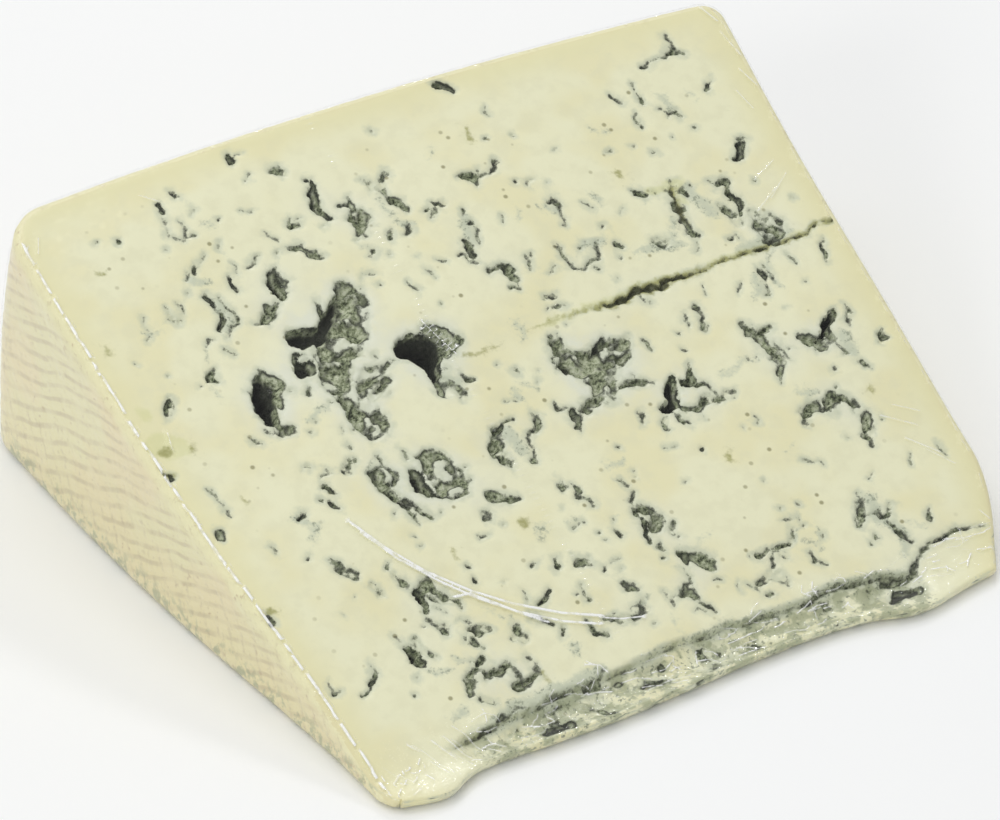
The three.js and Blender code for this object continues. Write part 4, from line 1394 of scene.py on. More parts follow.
class Recipe:
    def __init__(self, name):
        self.material = bpy.data.materials.new(name)
        self.material.use_nodes = True
        self.tree = self.material.node_tree
        self.tree.nodes.clear()
        coordinates = self.node("ShaderNodeTexCoord").outputs["Object"]
        scaled_place = self.node("ShaderNodeVectorMath", operation="SCALE")
        self.tree.links.new(coordinates, scaled_place.inputs[0])
        scaled_place.inputs["Scale"].default_value = 1.0 / MM
        self.place = scaled_place.outputs[0]

    def node(self, kind, inputs=None, **settings):
        made = self.tree.nodes.new(kind)
        for key, value in settings.items():
            setattr(made, key, value)
        for key, value in (inputs or {}).items():
            self.feed(made.inputs[key], value)
        return made

    def feed(self, socket, value):
        if isinstance(value, bpy.types.NodeSocket):
            self.tree.links.new(value, socket)
        else:
            socket.default_value = value

    def attribute(self, name):
        return self.node("ShaderNodeAttribute", attribute_name=name).outputs["Fac"]

    def noise(self, size, detail=2.0, seed=0.0, rough=0.5):
        offset = self.node("ShaderNodeVectorMath", {0: self.place, 1: (37.0 * seed, 11.0 * seed, 0.0)})
        made = self.node("ShaderNodeTexNoise", {"Vector": offset.outputs[0]})
        for key, value in (("Scale", 1.0 / size), ("Detail", detail), ("Roughness", rough)):
            made.inputs[key].default_value = value
        return made.outputs["Fac"]

    def math(self, operation, a, b=0.0, c=0.0):
        return self.node("ShaderNodeMath", {0: a, 1: b, 2: c}, operation=operation).outputs[0]

    def ramp(self, value, low, high, to_low=0.0, to_high=1.0):
        keys = {"Value": value, "From Min": low, "From Max": high, "To Min": to_low, "To Max": to_high}
        return self.node("ShaderNodeMapRange", keys, interpolation_type="SMOOTHSTEP").outputs["Result"]

    def mix(self, share, a, b):
        made = self.node("ShaderNodeMix", data_type="RGBA")
        for index, value in ((0, share), (6, a), (7, b)):
            if isinstance(value, tuple):
                value = (*value, 1.0)
            self.feed(made.inputs[index], value)
        return made.outputs[2]

    def colours(self, value, stops):
        made = self.node("ShaderNodeValToRGB", {0: value})
        ramp = made.color_ramp
        for index, (place, colour) in enumerate(stops):
            stop = ramp.elements[index] if index < 2 else ramp.elements.new(place)
            stop.position, stop.color = place, (*colour, 1.0)
        return made.outputs["Color"]

    def both(self, a, b):
        return self.math("MULTIPLY", a, b)

    def shaken(self, value, noise, amount):
        """A value pushed up and down by a noise, so that its border comes out ragged."""
        return self.math("MULTIPLY_ADD", self.math("SUBTRACT", noise, 0.5), amount, value)

    def bump(self, height, strength):
        keys = {"Height": height, "Distance": MM, "Strength": strength}
        return self.node("ShaderNodeBump", keys).outputs["Normal"]

    def finish(self, **inputs):
        surface = self.node("ShaderNodeBsdfPrincipled")
        for key, value in inputs.items():
            self.feed(surface.inputs[key.replace("_", " ")], value)
        output = self.node("ShaderNodeOutputMaterial")
        self.tree.links.new(surface.outputs[0], output.inputs["Surface"])
        return self.material


print("recipe helper ready")

# %% [markdown]
# ## The paste and its mould
# The paste of a blue cheese is ivory, yellower in a band beside the rind, where it dried, and
# cooler around the mould. The mould itself isn't one blue-green: thin growth on a torn floor is a
# pale grey, and the path of a needle is olive. Shade is painted in as well: the openings get darker
# with depth, so that a deep pit is nearly black, and a dark line of mould and painted shade runs just
# inside their rims. Painted by noise alone the mould would float on the surface. Driven by the
# distance and depth of each point, it stays inside the openings, with a soft halo of threads in the
# paste around them.

# %% Paste material
IVORY, WARM_CREAM, HAZE = (0.84, 0.825, 0.57), (0.815, 0.775, 0.485), (0.755, 0.77, 0.625)
RIND_BAND, DRY_EDGE = (0.80, 0.755, 0.44), (0.775, 0.70, 0.41)
HALO, VEIL, STRIP_GREY = (0.55, 0.585, 0.44), (0.17, 0.195, 0.125), (0.36, 0.39, 0.235)
OLIVE_STAIN, MOULD_OLIVE = (0.31, 0.305, 0.085), (0.060, 0.060, 0.013)
MOULD_PALE, MOULD_GREY, MOULD_DEEP = (0.53, 0.57, 0.38), (0.25, 0.285, 0.16), (0.034, 0.043, 0.017)
# the first colour is painted shade in the depth of the openings, over the mould's own dark; the second is
# the dark line of mould and painted shade just inside their rims
MOULD_IN_DEEP_SHADE, MOULD_AND_SHADE_AT_RIM, CURD = (0.013, 0.015, 0.008), (0.026, 0.032, 0.015), (0.69, 0.715, 0.54)
PIN_DOT, MOTTLE, PALE_SPOT = (0.25, 0.23, 0.10), (0.745, 0.725, 0.49), (0.66, 0.66, 0.31)


def paste_material():
    k = Recipe("moist_blue_paste")
    fine = k.noise(0.6, 4.0, 1.0, 0.64)
    patchy = k.noise(2.2, 3.0, 2.0, 0.55)
    clouds = k.noise(10.0, 2.0, 3.0)
    gap = k.shaken(k.attribute("opening"), fine, 0.8)
    tone = k.math("MULTIPLY_ADD", fine, 0.62, k.both(patchy, 0.38))
    depth, dark = k.attribute("deep"), k.attribute("dark")

    # ivory, warmer in clouds, yellower beside the rind and cooler around the mould
    cream = k.mix(k.ramp(clouds, 0.42, 0.66), IVORY, WARM_CREAM)
    cream = k.mix(k.ramp(patchy, 0.42, 0.68, 0.0, 0.4), cream, MOTTLE)
    wander = k.math("MULTIPLY_ADD", clouds, 3.6, k.attribute("from_rind"))
    cream = k.mix(k.ramp(wander, 8.6, 2.4, 0.0, 0.9), cream, RIND_BAND)
    cream = k.mix(k.ramp(wander, 3.6, 2.0, 0.0, 0.7), cream, DRY_EDGE)
    cool = k.both(k.ramp(k.attribute("haze"), 0.03, 0.42), k.ramp(patchy, 0.3, 0.6, 0.5, 1.0))
    cream = k.mix(cool, cream, HAZE)
    thready = k.shaken(gap, patchy, 1.6)
    cream = k.mix(k.ramp(thready, 0.95, -0.1, 0.0, 0.7), cream, HALO)

    # stains, mould threads just under the surface, and lonely specks
    for name, colour, most in (("pale", PALE_SPOT, 0.5), ("grey", HALO, 0.85), ("olive", OLIVE_STAIN, 0.85)):
        stain = k.shaken(k.attribute(name), fine, 1.2)
        cream = k.mix(k.ramp(stain, 0.15, 1.0, 0.0, most), cream, colour)
    threads = k.both(k.ramp(tone, 0.53, 0.60), k.ramp(k.attribute("grey"), 0.2, 0.8))
    cream = k.mix(k.both(threads, 0.6), cream, VEIL)
    streaks = k.both(k.attribute("strip"), k.ramp(patchy, 0.45, 0.57, 0.06, 1.0))
    cream = k.mix(k.both(streaks, 0.8), cream, STRIP_GREY)
    nicks = k.both(k.attribute("strip"), k.ramp(fine, 0.57, 0.63))
    cream = k.mix(k.both(nicks, 0.8), cream, VEIL)
    pin = k.node("ShaderNodeTexVoronoi", {"Vector": k.place, "Scale": 1.0 / 2.7})
    lonely = k.ramp(k.node("ShaderNodeSeparateColor", {0: pin.outputs["Color"]}).outputs[0], 0.40, 0.80)
    dot = k.both(k.ramp(pin.outputs["Distance"], 0.16, 0.06, 0.0, 0.8), lonely)
    cream = k.mix(k.both(dot, k.ramp(k.attribute("from_rind"), 3.0, 12.0)), cream, PIN_DOT)

    # mould in the openings: a wide range of greys, with painted shade in the depth and a dark line of mould
    # and painted shade just inside the rim
    growth = k.colours(tone, [(0.40, MOULD_DEEP), (0.47, MOULD_GREY), (0.54, MOULD_PALE), (0.61, CURD)])
    # mould and painted shade: a dark band on the walls just inside each rim
    rim_mould_and_shade = k.both(k.ramp(gap, -0.60, -0.16), k.ramp(patchy, 0.42, 0.56, 0.15, 1.0))
    growth = k.mix(rim_mould_and_shade, growth, MOULD_AND_SHADE_AT_RIM)
    # painted shade: the floor darkens with its depth, more for the darker kinds of opening
    shade = k.both(k.ramp(depth, 0.2, 1.9), dark)
    growth = k.mix(k.ramp(shade, 0.10, 0.8, 0.0, 0.94), growth, MOULD_IN_DEEP_SHADE)
    growth = k.mix(k.ramp(k.attribute("olive"), 0.3, 0.9, 0.0, 0.85), growth, MOULD_OLIVE)

    # shallow openings fade out, deep ones have a firm rim
    soft = k.ramp(dark, 0.55, 0.15)
    high = k.math("MULTIPLY_ADD", soft, 0.07, 0.05)
    low = k.math("MULTIPLY_ADD", soft, -0.17, -0.08)
    open_share = k.ramp(gap, high, low)
    colour = k.mix(open_share, cream, growth)
    fuzz = k.both(fine, k.ramp(open_share, 0.0, 1.0, 0.02, 0.6))
    return k.finish(Base_Color=colour, Roughness=k.ramp(open_share, 0.0, 1.0, 0.36, 0.7),
                    Normal=k.bump(fuzz, 0.8))


# %% [markdown]
# ## The rind
# The rind of a young, washed wedge is thin and beige, pinkish in the middle of the flat faces and
# yellow at the very edge of the cut. The mat's grooves are painted darker, as the shade that falls in
# them, so the same wave that shaped them colours them, and the same grey-brown marks the pores as
# dirt. Near the lower edge the wheel sat damp, and specks of grey-green mould have settled.

# %% Rind material
RIND_BEIGE, RIND_PINK, RIND_LOW = (0.80, 0.75, 0.46), (0.815, 0.72, 0.45), (0.80, 0.718, 0.435)
# the second colour is painted shade in the mat's grooves, and real dirt in the pores and the marks of the
# cross strands
RIND_TOP, GROOVE_SHADE_AND_DIRT, RIND_MOULD = (0.86, 0.82, 0.52), (0.54, 0.455, 0.285), (0.33, 0.37, 0.23)
RIND_FLECK, RIM_PINK, RIM_BROWN = (0.58, 0.43, 0.24), (0.80, 0.71, 0.50), (0.64, 0.53, 0.33)


def rind_material():
    k = Recipe("matted_rind")
    above, below = k.attribute("above_base"), k.attribute("below_cut")
    cloudy = k.noise(4.0, 3.0, 23.0)
    beige = k.mix(k.ramp(k.noise(14.0, 2.0, 21.0), 0.42, 0.62), RIND_BEIGE, RIND_PINK)
    beige = k.mix(k.ramp(above, 14.0, 2.0, 0.0, 0.8), beige, RIND_LOW)
    rubbed = k.math("SUBTRACT", 1.0, k.attribute("flat"))
    beige = k.mix(k.both(rubbed, 0.8), beige, RIM_PINK)
    beige = k.mix(k.both(rubbed, k.ramp(cloudy, 0.42, 0.70, 0.0, 0.42)), beige, RIM_BROWN)
    edge = k.math("MULTIPLY_ADD", cloudy, 4.0, below)
    beige = k.mix(k.ramp(edge, 5.2, 2.2, 0.0, 0.85), beige, RIND_TOP)

    wave = k.math("COSINE", k.math("MULTIPLY", k.attribute("mat"), 2 * math.pi))
    # painted shade in the grooves of the mat, faded near the edge of the cut
    groove = k.both(k.ramp(wave, 0.1, 1.0), k.ramp(cloudy, 0.38, 0.62, 0.16, 0.56))
    groove = k.both(groove, k.ramp(k.attribute("flat"), 0.0, 1.0, 0.06, 1.0))
    beige = k.mix(k.both(groove, k.ramp(edge, 2.6, 7.0)), beige, GROOVE_SHADE_AND_DIRT)
    weft = k.math("COSINE", k.math("MULTIPLY", k.attribute("cross"), 2 * math.pi))
    weave = k.both(k.ramp(weft, 0.5, 1.0), k.ramp(above, 16.0, 4.0, 0.03, 0.3))
    pores = k.noise(0.9, 3.0, 25.0, 0.6)
    beige = k.mix(k.both(weave, k.ramp(pores, 0.4, 0.6)), beige, GROOVE_SHADE_AND_DIRT)
    beige = k.mix(k.ramp(pores, 0.56, 0.72, 0.0, 0.4), beige, GROOVE_SHADE_AND_DIRT)

    damp = k.both(k.ramp(above, 5.0, 0.4), k.ramp(k.noise(1.6, 4.0, 26.0, 0.65), 0.47, 0.59, 0.0, 0.75))
    beige = k.mix(damp, beige, RIND_MOULD)
    fleck = k.both(k.ramp(pores, 0.64, 0.72), k.ramp(k.noise(8.0, 1.0, 27.0), 0.52, 0.66, 0.0, 0.7))
    beige = k.mix(fleck, beige, RIND_FLECK)
    relief = k.math("MULTIPLY_ADD", pores, 0.14, k.both(k.both(wave, k.attribute("flat")), -0.05))
    return k.finish(Base_Color=beige, Roughness=k.ramp(cloudy, 0.3, 0.7, 0.5, 0.68),
                    Normal=k.bump(relief, 0.9))


cheese.data.materials.append(paste_material())
cheese.data.materials.append(rind_material())
print("materials of the cheese:", [m.name for m in cheese.data.materials])

# %% [markdown]
# ## The film
# Cling film is a few hundredths of a millimetre thick, so light passes it almost unchanged. What
# tells the eye that it is there are its highlights: a doubled crease where it was welded, a row of
# little gathers along the sharp edges, and wrinkles that fan out from the corners. A plain glossy
# shell has none of these. So the film is a second closed skin with its creases raised as real
# ridges, with points set along each of them, and a white highlight painted on where it is folded.

# %% Creases of the film on the upper cut
WELD = [
    [(-34.7, 41.5, 0.1), (-32.1, 36.3, 0.17), (-28.8, 31.3, 0.15), (-24.6, 26.6, 0.16), (-20.2, 22.7, 0.17),
     (-15.0, 19.1, 0.17), (-10.2, 16.7, 0.1)],
    [(-34.1, 39.6, 0.08), (-31.4, 34.4, 0.13), (-27.9, 29.5, 0.12), (-24.2, 25.2, 0.15), (-20.2, 21.4, 0.17),
     (-15.4, 17.9, 0.18), (-11.0, 15.7, 0.1)],
    [(-27.0, 26.6, 0.14), (-24.9, 26.3, 0.2), (-23.2, 24.5, 0.17), (-19.8, 20.9, 0.15), (-17.4, 18.6, 0.08)],
    [(-10.6, 16.6, 0.08), (-8.2, 15.4, 0.1), (-5.4, 14.6, 0.07)],
]
WRINKLES = [
    [(-47.8, 5.2, 0.16), (-46.4, 6.2, 0.2)], [(-46.6, 2.4, 0.14), (-45.2, 3.0, 0.2)],
    [(-43.4, 9.6, 0.12), (-42.4, 8.2, 0.18)], [(-40.2, 9.0, 0.1), (-38.4, 5.2, 0.2)],
    [(-38.4, 8.8, 0.1), (-36.6, 4.6, 0.18)], [(-35.4, 7.6, 0.12), (-34.2, 5.0, 0.14)],
    [(-41.8, 6.4, 0.1), (-40.6, 3.6, 0.16)], [(-33.0, 6.6, 0.1), (-31.6, 4.4, 0.14)],
    [(41.0, 29.6, 0.1), (45.2, 26.4, 0.14)], [(42.4, 25.4, 0.1), (45.8, 21.6, 0.14)],
    [(43.6, 30.4, 0.08), (46.6, 28.2, 0.12)], [(44.2, 22.8, 0.08), (46.8, 19.2, 0.12)],
    [(42.2, 64.8, 0.1), (46.4, 67.2, 0.12)], [(45.0, 66.0, 0.08), (49.4, 69.0, 0.12)],
    [(44.6, 69.6, 0.08), (48.6, 71.4, 0.1)], [(51.6, 98.0, 0.16), (53.0, 94.4, 0.2)],
    [(52.4, 92.8, 0.14), (53.2, 88.2, 0.18)], [(51.8, 86.4, 0.1), (52.8, 83.2, 0.16)],
    [(50.4, 99.0, 0.12), (52.0, 98.2, 0.18)], [(49.6, 83.2, 0.08), (50.4, 79.8, 0.12)],
    [(46.0, 11.6, 0.12), (47.0, 9.0, 0.16)], [(43.0, 3.4, 0.12), (44.6, 5.6, 0.16)],
    [(-56.0, 93.0, 0.12), (-54.6, 95.4, 0.16)], [(-53.8, 93.8, 0.08), (-52.6, 96.2, 0.12)],
    [(-36.8, 97.2, 0.08), (-34.8, 95.4, 0.12)], [(-50.6, 62.6, 0.08), (-51.2, 59.8, 0.12)],
]
COMB = [[(-10.6, 65.6, 0.07), (-10.0, 63.4, 0.09), (-9.3, 61.2, 0.09), (-8.7, 59.4, 0.07)]]
COMB_X, COMB_R = 0.27, -0.85  # from one tooth of the comb to the next
for k in range(7):
    dx, dr = COMB_X * k, COMB_R * k
    COMB.append([(-10.5 + dx, 65.3 + dr, 0.06), (-9.8 + dx, 65.5 + dr, 0.05)])
for k in range(6):
    dx, dr = COMB_X * k, COMB_R * k
    COMB.append([(-10.4 + dx, 64.9 + dr, 0.06), (-11.1 + dx, 64.6 + dr, 0.05)])
SEAM_X, SEAM_FROM, SEAM_TO = -9.3, 11.0, 98.0
print("creases set one by one:", len(WELD) + len(WRINKLES) + len(COMB))

# %% [markdown]
# ### Creases by the dozen
# Along the sharp edges the film gathers into short dashes, and on the torn strip it is crumpled all
# over. Nobody can count these, so they are drawn at random from a fixed seed. The ranges of their
# length, width and direction are what makes each place look right.

# %% Seeded creases
WELD_WIDER, WRINKLES_WIDER = 1.6, 1.5
# along an edge: from, to, how far inside, half width, longest gap
LEFT_DASHES, LEFT_FAINT = (5.0, 92.0, 0.3, 0.34, 1.1), (12.0, 90.0, 0.85, 0.09, 6.0)
RIGHT_DASHES = (14.0, 92.0, 0.4, 0.1, 5.0)
CORNER_FAN, TOE_CRUMPLE, STRIP_CRUMPLE = 15, 22, 170


def widened(chains, factor):
    """Chains of the sketch in wheel millimetres, with wider creases."""
    return [[(px, pr, factor * half) for px, pr, half in scaled(chain)] for chain in chains]


def edge_dashes(rng, side_x, low, high, inset, half, gap):
    """Short gathers along an edge of the cut, as chains of three places. The film paints them white, as
    highlights.
    """
    dashes = []
    r = low
    while r < high:
        length = rng.uniform(0.5, 2.8)
        step = rng.uniform(-0.12, 0.12)
        sign = 1.0 if side_x is left_side else -1.0
        chain = []
        for k in range(3):
            rr = r + 0.5 * k * length
            x = float(side_x(np.array(rr))) + sign * (EDGE_SOFTNESS + inset + step)
            chain.append((x, rr, half * (0.6 if k != 1 else 1.0) * rng.uniform(0.8, 1.2)))
        dashes.append(chain)
        r += length + rng.uniform(0.15, gap)
    return dashes


rng = np.random.default_rng(44)
# a crease's strength raises its ridge and sets how much white highlight is painted on it
creases = [(chain, 1.0) for chain in widened(WELD, WELD_WIDER)]
creases += [(chain, 0.6) for chain in widened(WRINKLES, WRINKLES_WIDER)]
creases += [(scaled(chain), 0.9) for chain in COMB]
creases += [(chain, 1.0) for chain in edge_dashes(rng, left_side, *LEFT_DASHES)]
creases += [(chain, 0.6) for chain in edge_dashes(rng, left_side, *LEFT_FAINT)]
creases += [(chain, 0.6) for chain in edge_dashes(rng, right_side, *RIGHT_DASHES)]

# a fan of folds at the left corner of the nose
for _ in range(CORNER_FAN):
    x, r = rng.uniform(-47.0, -31.0), rng.uniform(5.0, 9.5)
    reach = rng.uniform(0.5, 1.2)
    half = rng.uniform(0.2, 0.42)
    middle, end = (x + 0.9 * reach, r - 1.5 * reach, half), (x + 1.5 * reach, r - 3.0 * reach, 0.1)
    creases.append(([(x, r, 0.08), middle, end], rng.uniform(0.3, 0.7)))

# crumpled film over the left toe
for _ in range(TOE_CRUMPLE):
    x, r = rng.uniform(-49.0, -41.0), rng.uniform(-0.4, 6.5)
    turn, reach = rng.uniform(0.0, math.pi), rng.uniform(0.25, 0.8)
    middle = (x + reach * math.cos(turn), r + reach * math.sin(turn), rng.uniform(0.12, 0.24))
    creases.append(([(x, r, 0.08), middle, (x + 1.8 * reach * math.cos(turn), middle[1] + 0.3, 0.08)], 0.9))

# crumpled film along the strip
for _ in range(STRIP_CRUMPLE):
    x = rng.uniform(-37.0, 44.0)
    r = rng.uniform(4.0, 9.4)
    turn = rng.uniform(-0.5, 0.5) + (math.pi / 2 if rng.random() < 0.25 else 0.0)
    reach = rng.uniform(0.5, 2.0)
    bend = rng.uniform(-0.5, 0.5)
    middle = (x + reach * math.cos(turn), r + reach * math.sin(turn) * 0.6, rng.uniform(0.1, 0.28))
    end = (x + 2 * reach * math.cos(turn + bend), r + 2 * reach * math.sin(turn + bend) * 0.6, 0.08)
    creases.append(([(x, r, 0.08), middle, end], rng.uniform(0.25, 0.9)))
print("creases in the film over the upper cut:", len(creases))

# %% [markdown]
# ## Points along a crease
# A ridge a third of a millimetre wide would vanish between the points of a plain grid. Each crease
# brings its own: one row on its crest, two on its flanks and two at its feet. Elsewhere the film
# needs few points, because it is nearly flat.

# %% The film's mesh
FILM_SPACING, CREST_HEIGHT, CREST_STEP = 1.5, 0.34, 0.35
CREST_SHARE, CREST_EDGE = 0.6, 1.35
FLANKS = (0.0, -0.55, 0.55, -1.0, 1.0, -2.2, 2.2)
SEAM_STEP, SEAM_ROWS, FINE_CELL = 0.5, (-0.5, 0.0, 0.5), 0.1
FLOOR_SPACING, FLOOR_GAP, FILM_STATIONS, FILM_WALL_SPACING = 3.0, 2.0, 1.0, 1.6


def crest_points(chain):
    """Points on the crest, the flanks and the feet of a crease."""
    rows = []
    for (ax, ar, aw), (bx, br, bw) in zip(chain, chain[1:]):
        length = math.hypot(bx - ax, br - ar)
        nx, nr = -(br - ar) / length, (bx - ax) / length
        for share in np.arange(0.0, 1.0, CREST_STEP / max(length, CREST_STEP)):
            half = aw + (bw - aw) * share
            for flank in FLANKS:
                aside = flank * half
                rows.append((ax + (bx - ax) * share + nx * aside, ar + (br - ar) * share + nr * aside))
    return np.array(rows)


def crease_share(x, r):
    """How much each place is raised by a crease, 0 to 1."""
    share = np.zeros_like(x)
    for chain, strength in creases:
        xs, rs = [p[0] for p in chain], [p[1] for p in chain]
        near = (x > min(xs) - 1) & (x < max(xs) + 1) & (r > min(rs) - 1) & (r < max(rs) + 1)
        if not near.any():
            continue
        wide = [(px, pr, 0.0) for px, pr, _ in chain]
        half = float(np.mean([p[2] for p in chain]))
        away = stroke_distance(x[near], r[near], wide)
        share[near] = np.maximum(share[near], strength * smooth(CREST_EDGE - away / half))
    return share


def film_top(x, r):
    """Height of the film above the plane of the upper cut."""
    over_hole = -0.05 * smooth(-sample(upper, "opening", x, r) / 1.2)
    pull = 0.05 * noise(x, r * 0.35, 3.0, 95) * smooth((14.0 - r) / 8.0)
    return Band.relief(x, r) + over_hole + pull + CREST_HEIGHT * crease_share(x, r) * CREST_SHARE


def film_low(x, r):
    """The film lies flat on the floor."""
    return np.zeros_like(x)


def film_detail(x, r, nx, nr, z):
    """A little unevenness of the film on the wall, most of it on the rim."""
    return 0.03 * noise(x + r, z, 4.0, 96) + 0.04 * noise(x, z, 1.8, 97) * np.maximum(0.0, nr)


x, r = staggered(FILM_SPACING)
keep = inner_distance(x, r) > BORDER_GAP
plain_points = np.stack([x[keep], r[keep]], axis=-1)
crest = np.vstack([crest_points(chain) for chain, _ in creases])
seam_r = np.arange(SEAM_FROM, SEAM_TO, SEAM_STEP)
seam = np.vstack([
    np.stack([np.full_like(seam_r, SEAM_X + d), seam_r + 0.2 * d], axis=-1) for d in SEAM_ROWS
])
fine = np.vstack([crest, seam])
fine = fine[inner_distance(fine[:, 0], fine[:, 1]) > EDGE_SOFTNESS + 0.1]
fine = thinned(fine, FINE_CELL)
film_points_in = thinned(np.vstack([fine, plain_points]), FINE_CELL)
x, r = staggered(FLOOR_SPACING)
keep = inner_distance(x, r) > FLOOR_GAP
film_band = Band(FILM_STATIONS, 0.0)
low_points = np.stack([x[keep], r[keep]], axis=-1)
points, film_triangles, _, (fx, fr, _), film_starts = closed_wedge(
    film_band, FILM_WALL_SPACING, film_detail, film_points_in, film_top, low_points, film_low)
film_points, _ = to_frame(points)
film = make_object("film", film_points, film_triangles, 75)
print("film:", len(points), "points,", len(film_triangles), "triangles")
print("open edges of the film:", open_edges(film_triangles))

# %% [markdown]
# ### What each point of the film knows
# The film has a white highlight painted where it is folded, is ticked along the seam, and is drawn
# tight into fine ripples near the nose and along the edges. Each of these is kept at the points,
# like the cheese's mould.

# %% Folds, seam and tension
on_cut = on_upper_cut(film_starts, len(fx))
seam_share = np.exp(-(((fx - SEAM_X) / 0.4) ** 2)) * smooth((fr - SEAM_FROM) / 3.0)
by_edge = smooth((3.0 - rind_distance(fx, fr)) / 2.5)
# how folded each point is, from which the material paints a white highlight
store(film.data, "fold_highlight", np.where(on_cut, crease_share(fx, fr), 0.0))
store(film.data, "seam", np.where(on_cut, seam_share, 0.0))
store(film.data, "pulled", smooth((13.0 - fr) / 5.0) + np.where(on_cut, by_edge, 0.4))
print("points of the film that are folded:", int((crease_share(fx, fr) > 0.5).sum()))

# %% [markdown]
# ## How clear film looks
# Film passes nearly all light and mirrors a little, more of it at a slant. Glass shaders bend light
# and darken what is inside, which a film this thin doesn't do. So a plain see-through shader is
# mixed with a mirror by the angle of view, and with a white painted highlight where the film is
# folded and, faintly, on the ticks of the seam.

# %% Film material
FILM_IOR, FILM_ROUGHNESS, SEAM_TICK = 1.33, 0.09, 0.85


def film_material():
    k = Recipe("clear_film")
    pulled = k.attribute("pulled")
    tight = k.noise(2.6, 1.0, 41.0, 0.55)
    drawn = k.both(k.noise(1.0, 2.0, 42.0, 0.65), pulled)
    along = k.node("ShaderNodeSeparateXYZ", {0: k.place}).outputs[1]
    ticks = k.math("SINE", k.math("MULTIPLY", along, 2 * math.pi / SEAM_TICK))
    here = k.both(k.attribute("seam"), k.ramp(k.noise(3.0, 0.0, 44.0), 0.42, 0.6))
    ticks = k.both(k.ramp(ticks, 0.3, 0.95), here)
    relief = k.math("MULTIPLY_ADD", tight, 0.10, k.both(drawn, 0.30))
    relief = k.math("MULTIPLY_ADD", ticks, 0.05, relief)
    normal = k.bump(relief, 0.7)
    mirror = {"Color": (1, 1, 1, 1), "Roughness": FILM_ROUGHNESS, "Normal": normal}
    shine = k.node("ShaderNodeBsdfGlossy", mirror).outputs[0]
    through = k.node("ShaderNodeBsdfTransparent", {"Color": (0.995, 0.995, 0.99, 1)}).outputs[0]
    fresnel = k.node("ShaderNodeFresnel", {"IOR": FILM_IOR, "Normal": normal}).outputs[0]
    outside = k.math("SUBTRACT", 1.0, k.node("ShaderNodeNewGeometry").outputs["Backfacing"])
    fresnel = k.both(fresnel, outside)
    clear = k.node("ShaderNodeMixShader", {0: fresnel, 1: through, 2: shine}).outputs[0]
    # a white painted highlight on the folds, the edge gathers and, faintly, the seam's ticks
    painted_highlight = k.node("ShaderNodeBsdfPrincipled", {
        "Base Color": (0.97, 0.97, 0.95, 1), "Roughness": 0.18, "Specular IOR Level": 0.8}).outputs[0]
    broken = k.ramp(k.noise(1.1, 1.0, 43.0), 0.34, 0.55, 0.45, 1.0)
    painted_highlight_share = k.both(k.ramp(k.attribute("fold_highlight"), 0.3, 0.9, 0.0, 0.92), broken)
    painted_highlight_share = k.math("MAXIMUM", painted_highlight_share, k.both(ticks, 0.14))
    surface = k.node("ShaderNodeMixShader", {0: painted_highlight_share, 1: clear, 2: painted_highlight}).outputs[0]
    output = k.node("ShaderNodeOutputMaterial")
    k.tree.links.new(surface, output.inputs["Surface"])
    return k.material


film.data.materials.append(film_material())
print("material of the film:", film.data.materials[0].name)

# %% [markdown]
# ## Joining the frame
# Both pieces belong to the one rigid body. The cheese stands for the plain CAD solid, which stays
# behind as the shape for weight and contact.

# %% Riding on the frame
for piece, slot in ((cheese, "cheese"), (film, "film")):
    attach(piece, "root")
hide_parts(WEDGE)
print("pieces on the frame:", cheese.name, film.name)

# %% [markdown]
# ## Floor, light and camera
# Wrapped food is usually lit by one large soft source from above, so that the film doesn't hide the
# food behind a glare, with a small bright source that its creases catch. The floor is pale and
# plain. The camera is far away with a long lens, which keeps the wedge's edges nearly parallel.

# %% Stage
FLOOR_HALF, FLOOR_DROP = 1.5, 0.00004
CAMERA_AZIMUTH, CAMERA_ELEVATION = math.radians(-31.2), math.radians(36.5)
CAMERA_DISTANCE, LENS = 0.762, 213.0
LOOK_AT = Vector((-0.0046, -0.0022, 0.0164))
SKY, SKY_STRENGTH = (0.97, 0.985, 1.0, 1.0), 0.6
FLOOR_TONES = (0.955, 0.955, 0.945), (0.965, 0.965, 0.955)
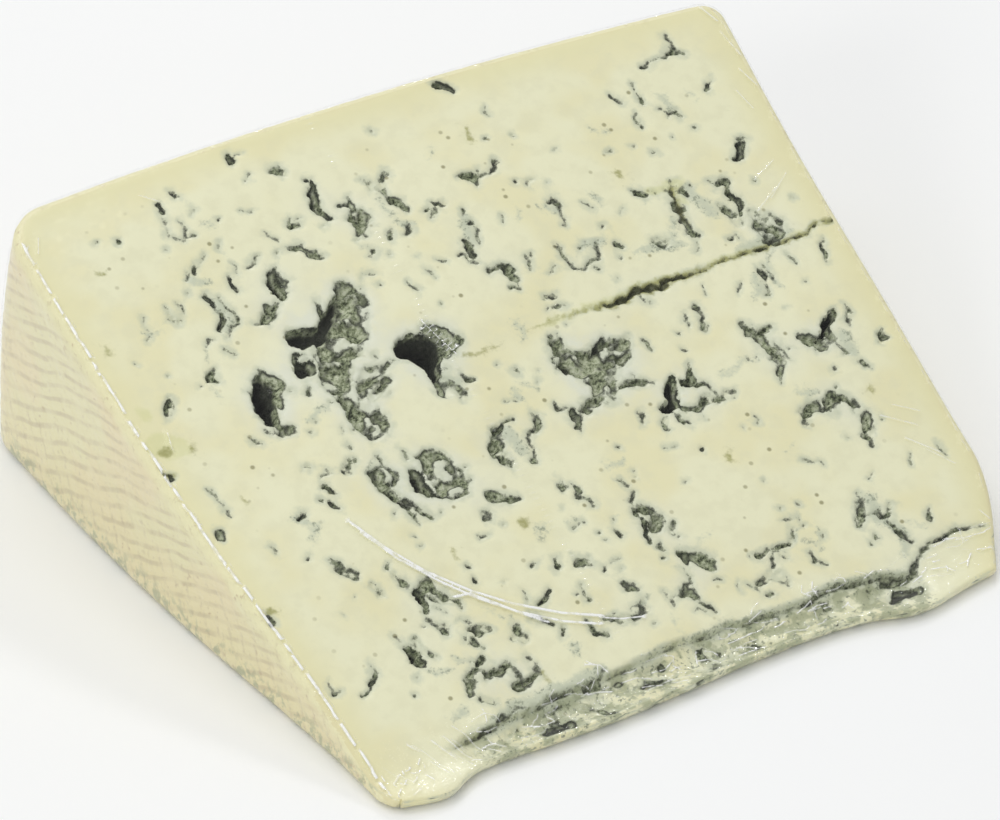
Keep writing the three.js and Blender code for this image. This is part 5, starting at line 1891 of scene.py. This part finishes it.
# name, place, where it points, its two sizes in metres, and its power in watts
LAMPS = (
    ("overhead", (-0.15, 0.25, 1.1), (0, 0, 0), (0.9, 0.7), 3.4),
    ("left_window", (-0.8, -0.45, 0.55), (0, 0, 0.02), (0.25, 0.25), 1.75),
    ("glint", (0.35, 0.55, 0.75), (0, 0, 0.03), (0.05, 0.12), 1.0),
)


def make_floor():
    signs = ((-1, -1), (1, -1), (1, 1), (-1, 1))
    corners = [(sx * FLOOR_HALF, sy * FLOOR_HALF, -FLOOR_DROP) for sx, sy in signs]
    mesh = bpy.data.meshes.new("floor")
    mesh.from_pydata(corners, [], [(0, 1, 2, 3)])
    floor = bpy.data.objects.new("floor", mesh)
    bpy.context.collection.objects.link(floor)
    k = Recipe("pale_floor")
    tone = k.mix(k.noise(60.0, 2.0, 51.0), *FLOOR_TONES)
    mesh.materials.append(k.finish(Base_Color=tone, Roughness=0.7))


def make_area(name, place, target, size, power):
    light = bpy.data.lights.new(name, "AREA")
    light.shape = "RECTANGLE"
    light.size, light.size_y = size
    light.energy = power
    lamp = bpy.data.objects.new(name, light)
    lamp.location = place
    lamp.rotation_euler = (Vector(target) - Vector(place)).to_track_quat("-Z", "Y").to_euler()
    bpy.context.collection.objects.link(lamp)


def make_camera():
    data = bpy.data.cameras.new("camera")
    data.lens = LENS
    data.clip_end = 10.0
    camera = bpy.data.objects.new("camera", data)
    flat = math.cos(CAMERA_ELEVATION)
    sideways, forward = math.sin(CAMERA_AZIMUTH) * flat, -math.cos(CAMERA_AZIMUTH) * flat
    back = Vector((sideways, forward, math.sin(CAMERA_ELEVATION)))
    camera.location = LOOK_AT + back * CAMERA_DISTANCE
    camera.rotation_euler = (-back).to_track_quat("-Z", "Y").to_euler()
    bpy.context.collection.objects.link(camera)
    bpy.context.scene.camera = camera


def make_world():
    world = bpy.data.worlds.new("studio")
    world.use_nodes = True
    background = world.node_tree.nodes["Background"]
    background.inputs["Color"].default_value = SKY
    background.inputs["Strength"].default_value = SKY_STRENGTH
    bpy.context.scene.world = world


make_floor()
make_world()
for lamp in LAMPS:
    make_area(*lamp)
make_camera()
bpy.context.scene.view_settings.view_transform = "Standard"
print("stage ready")
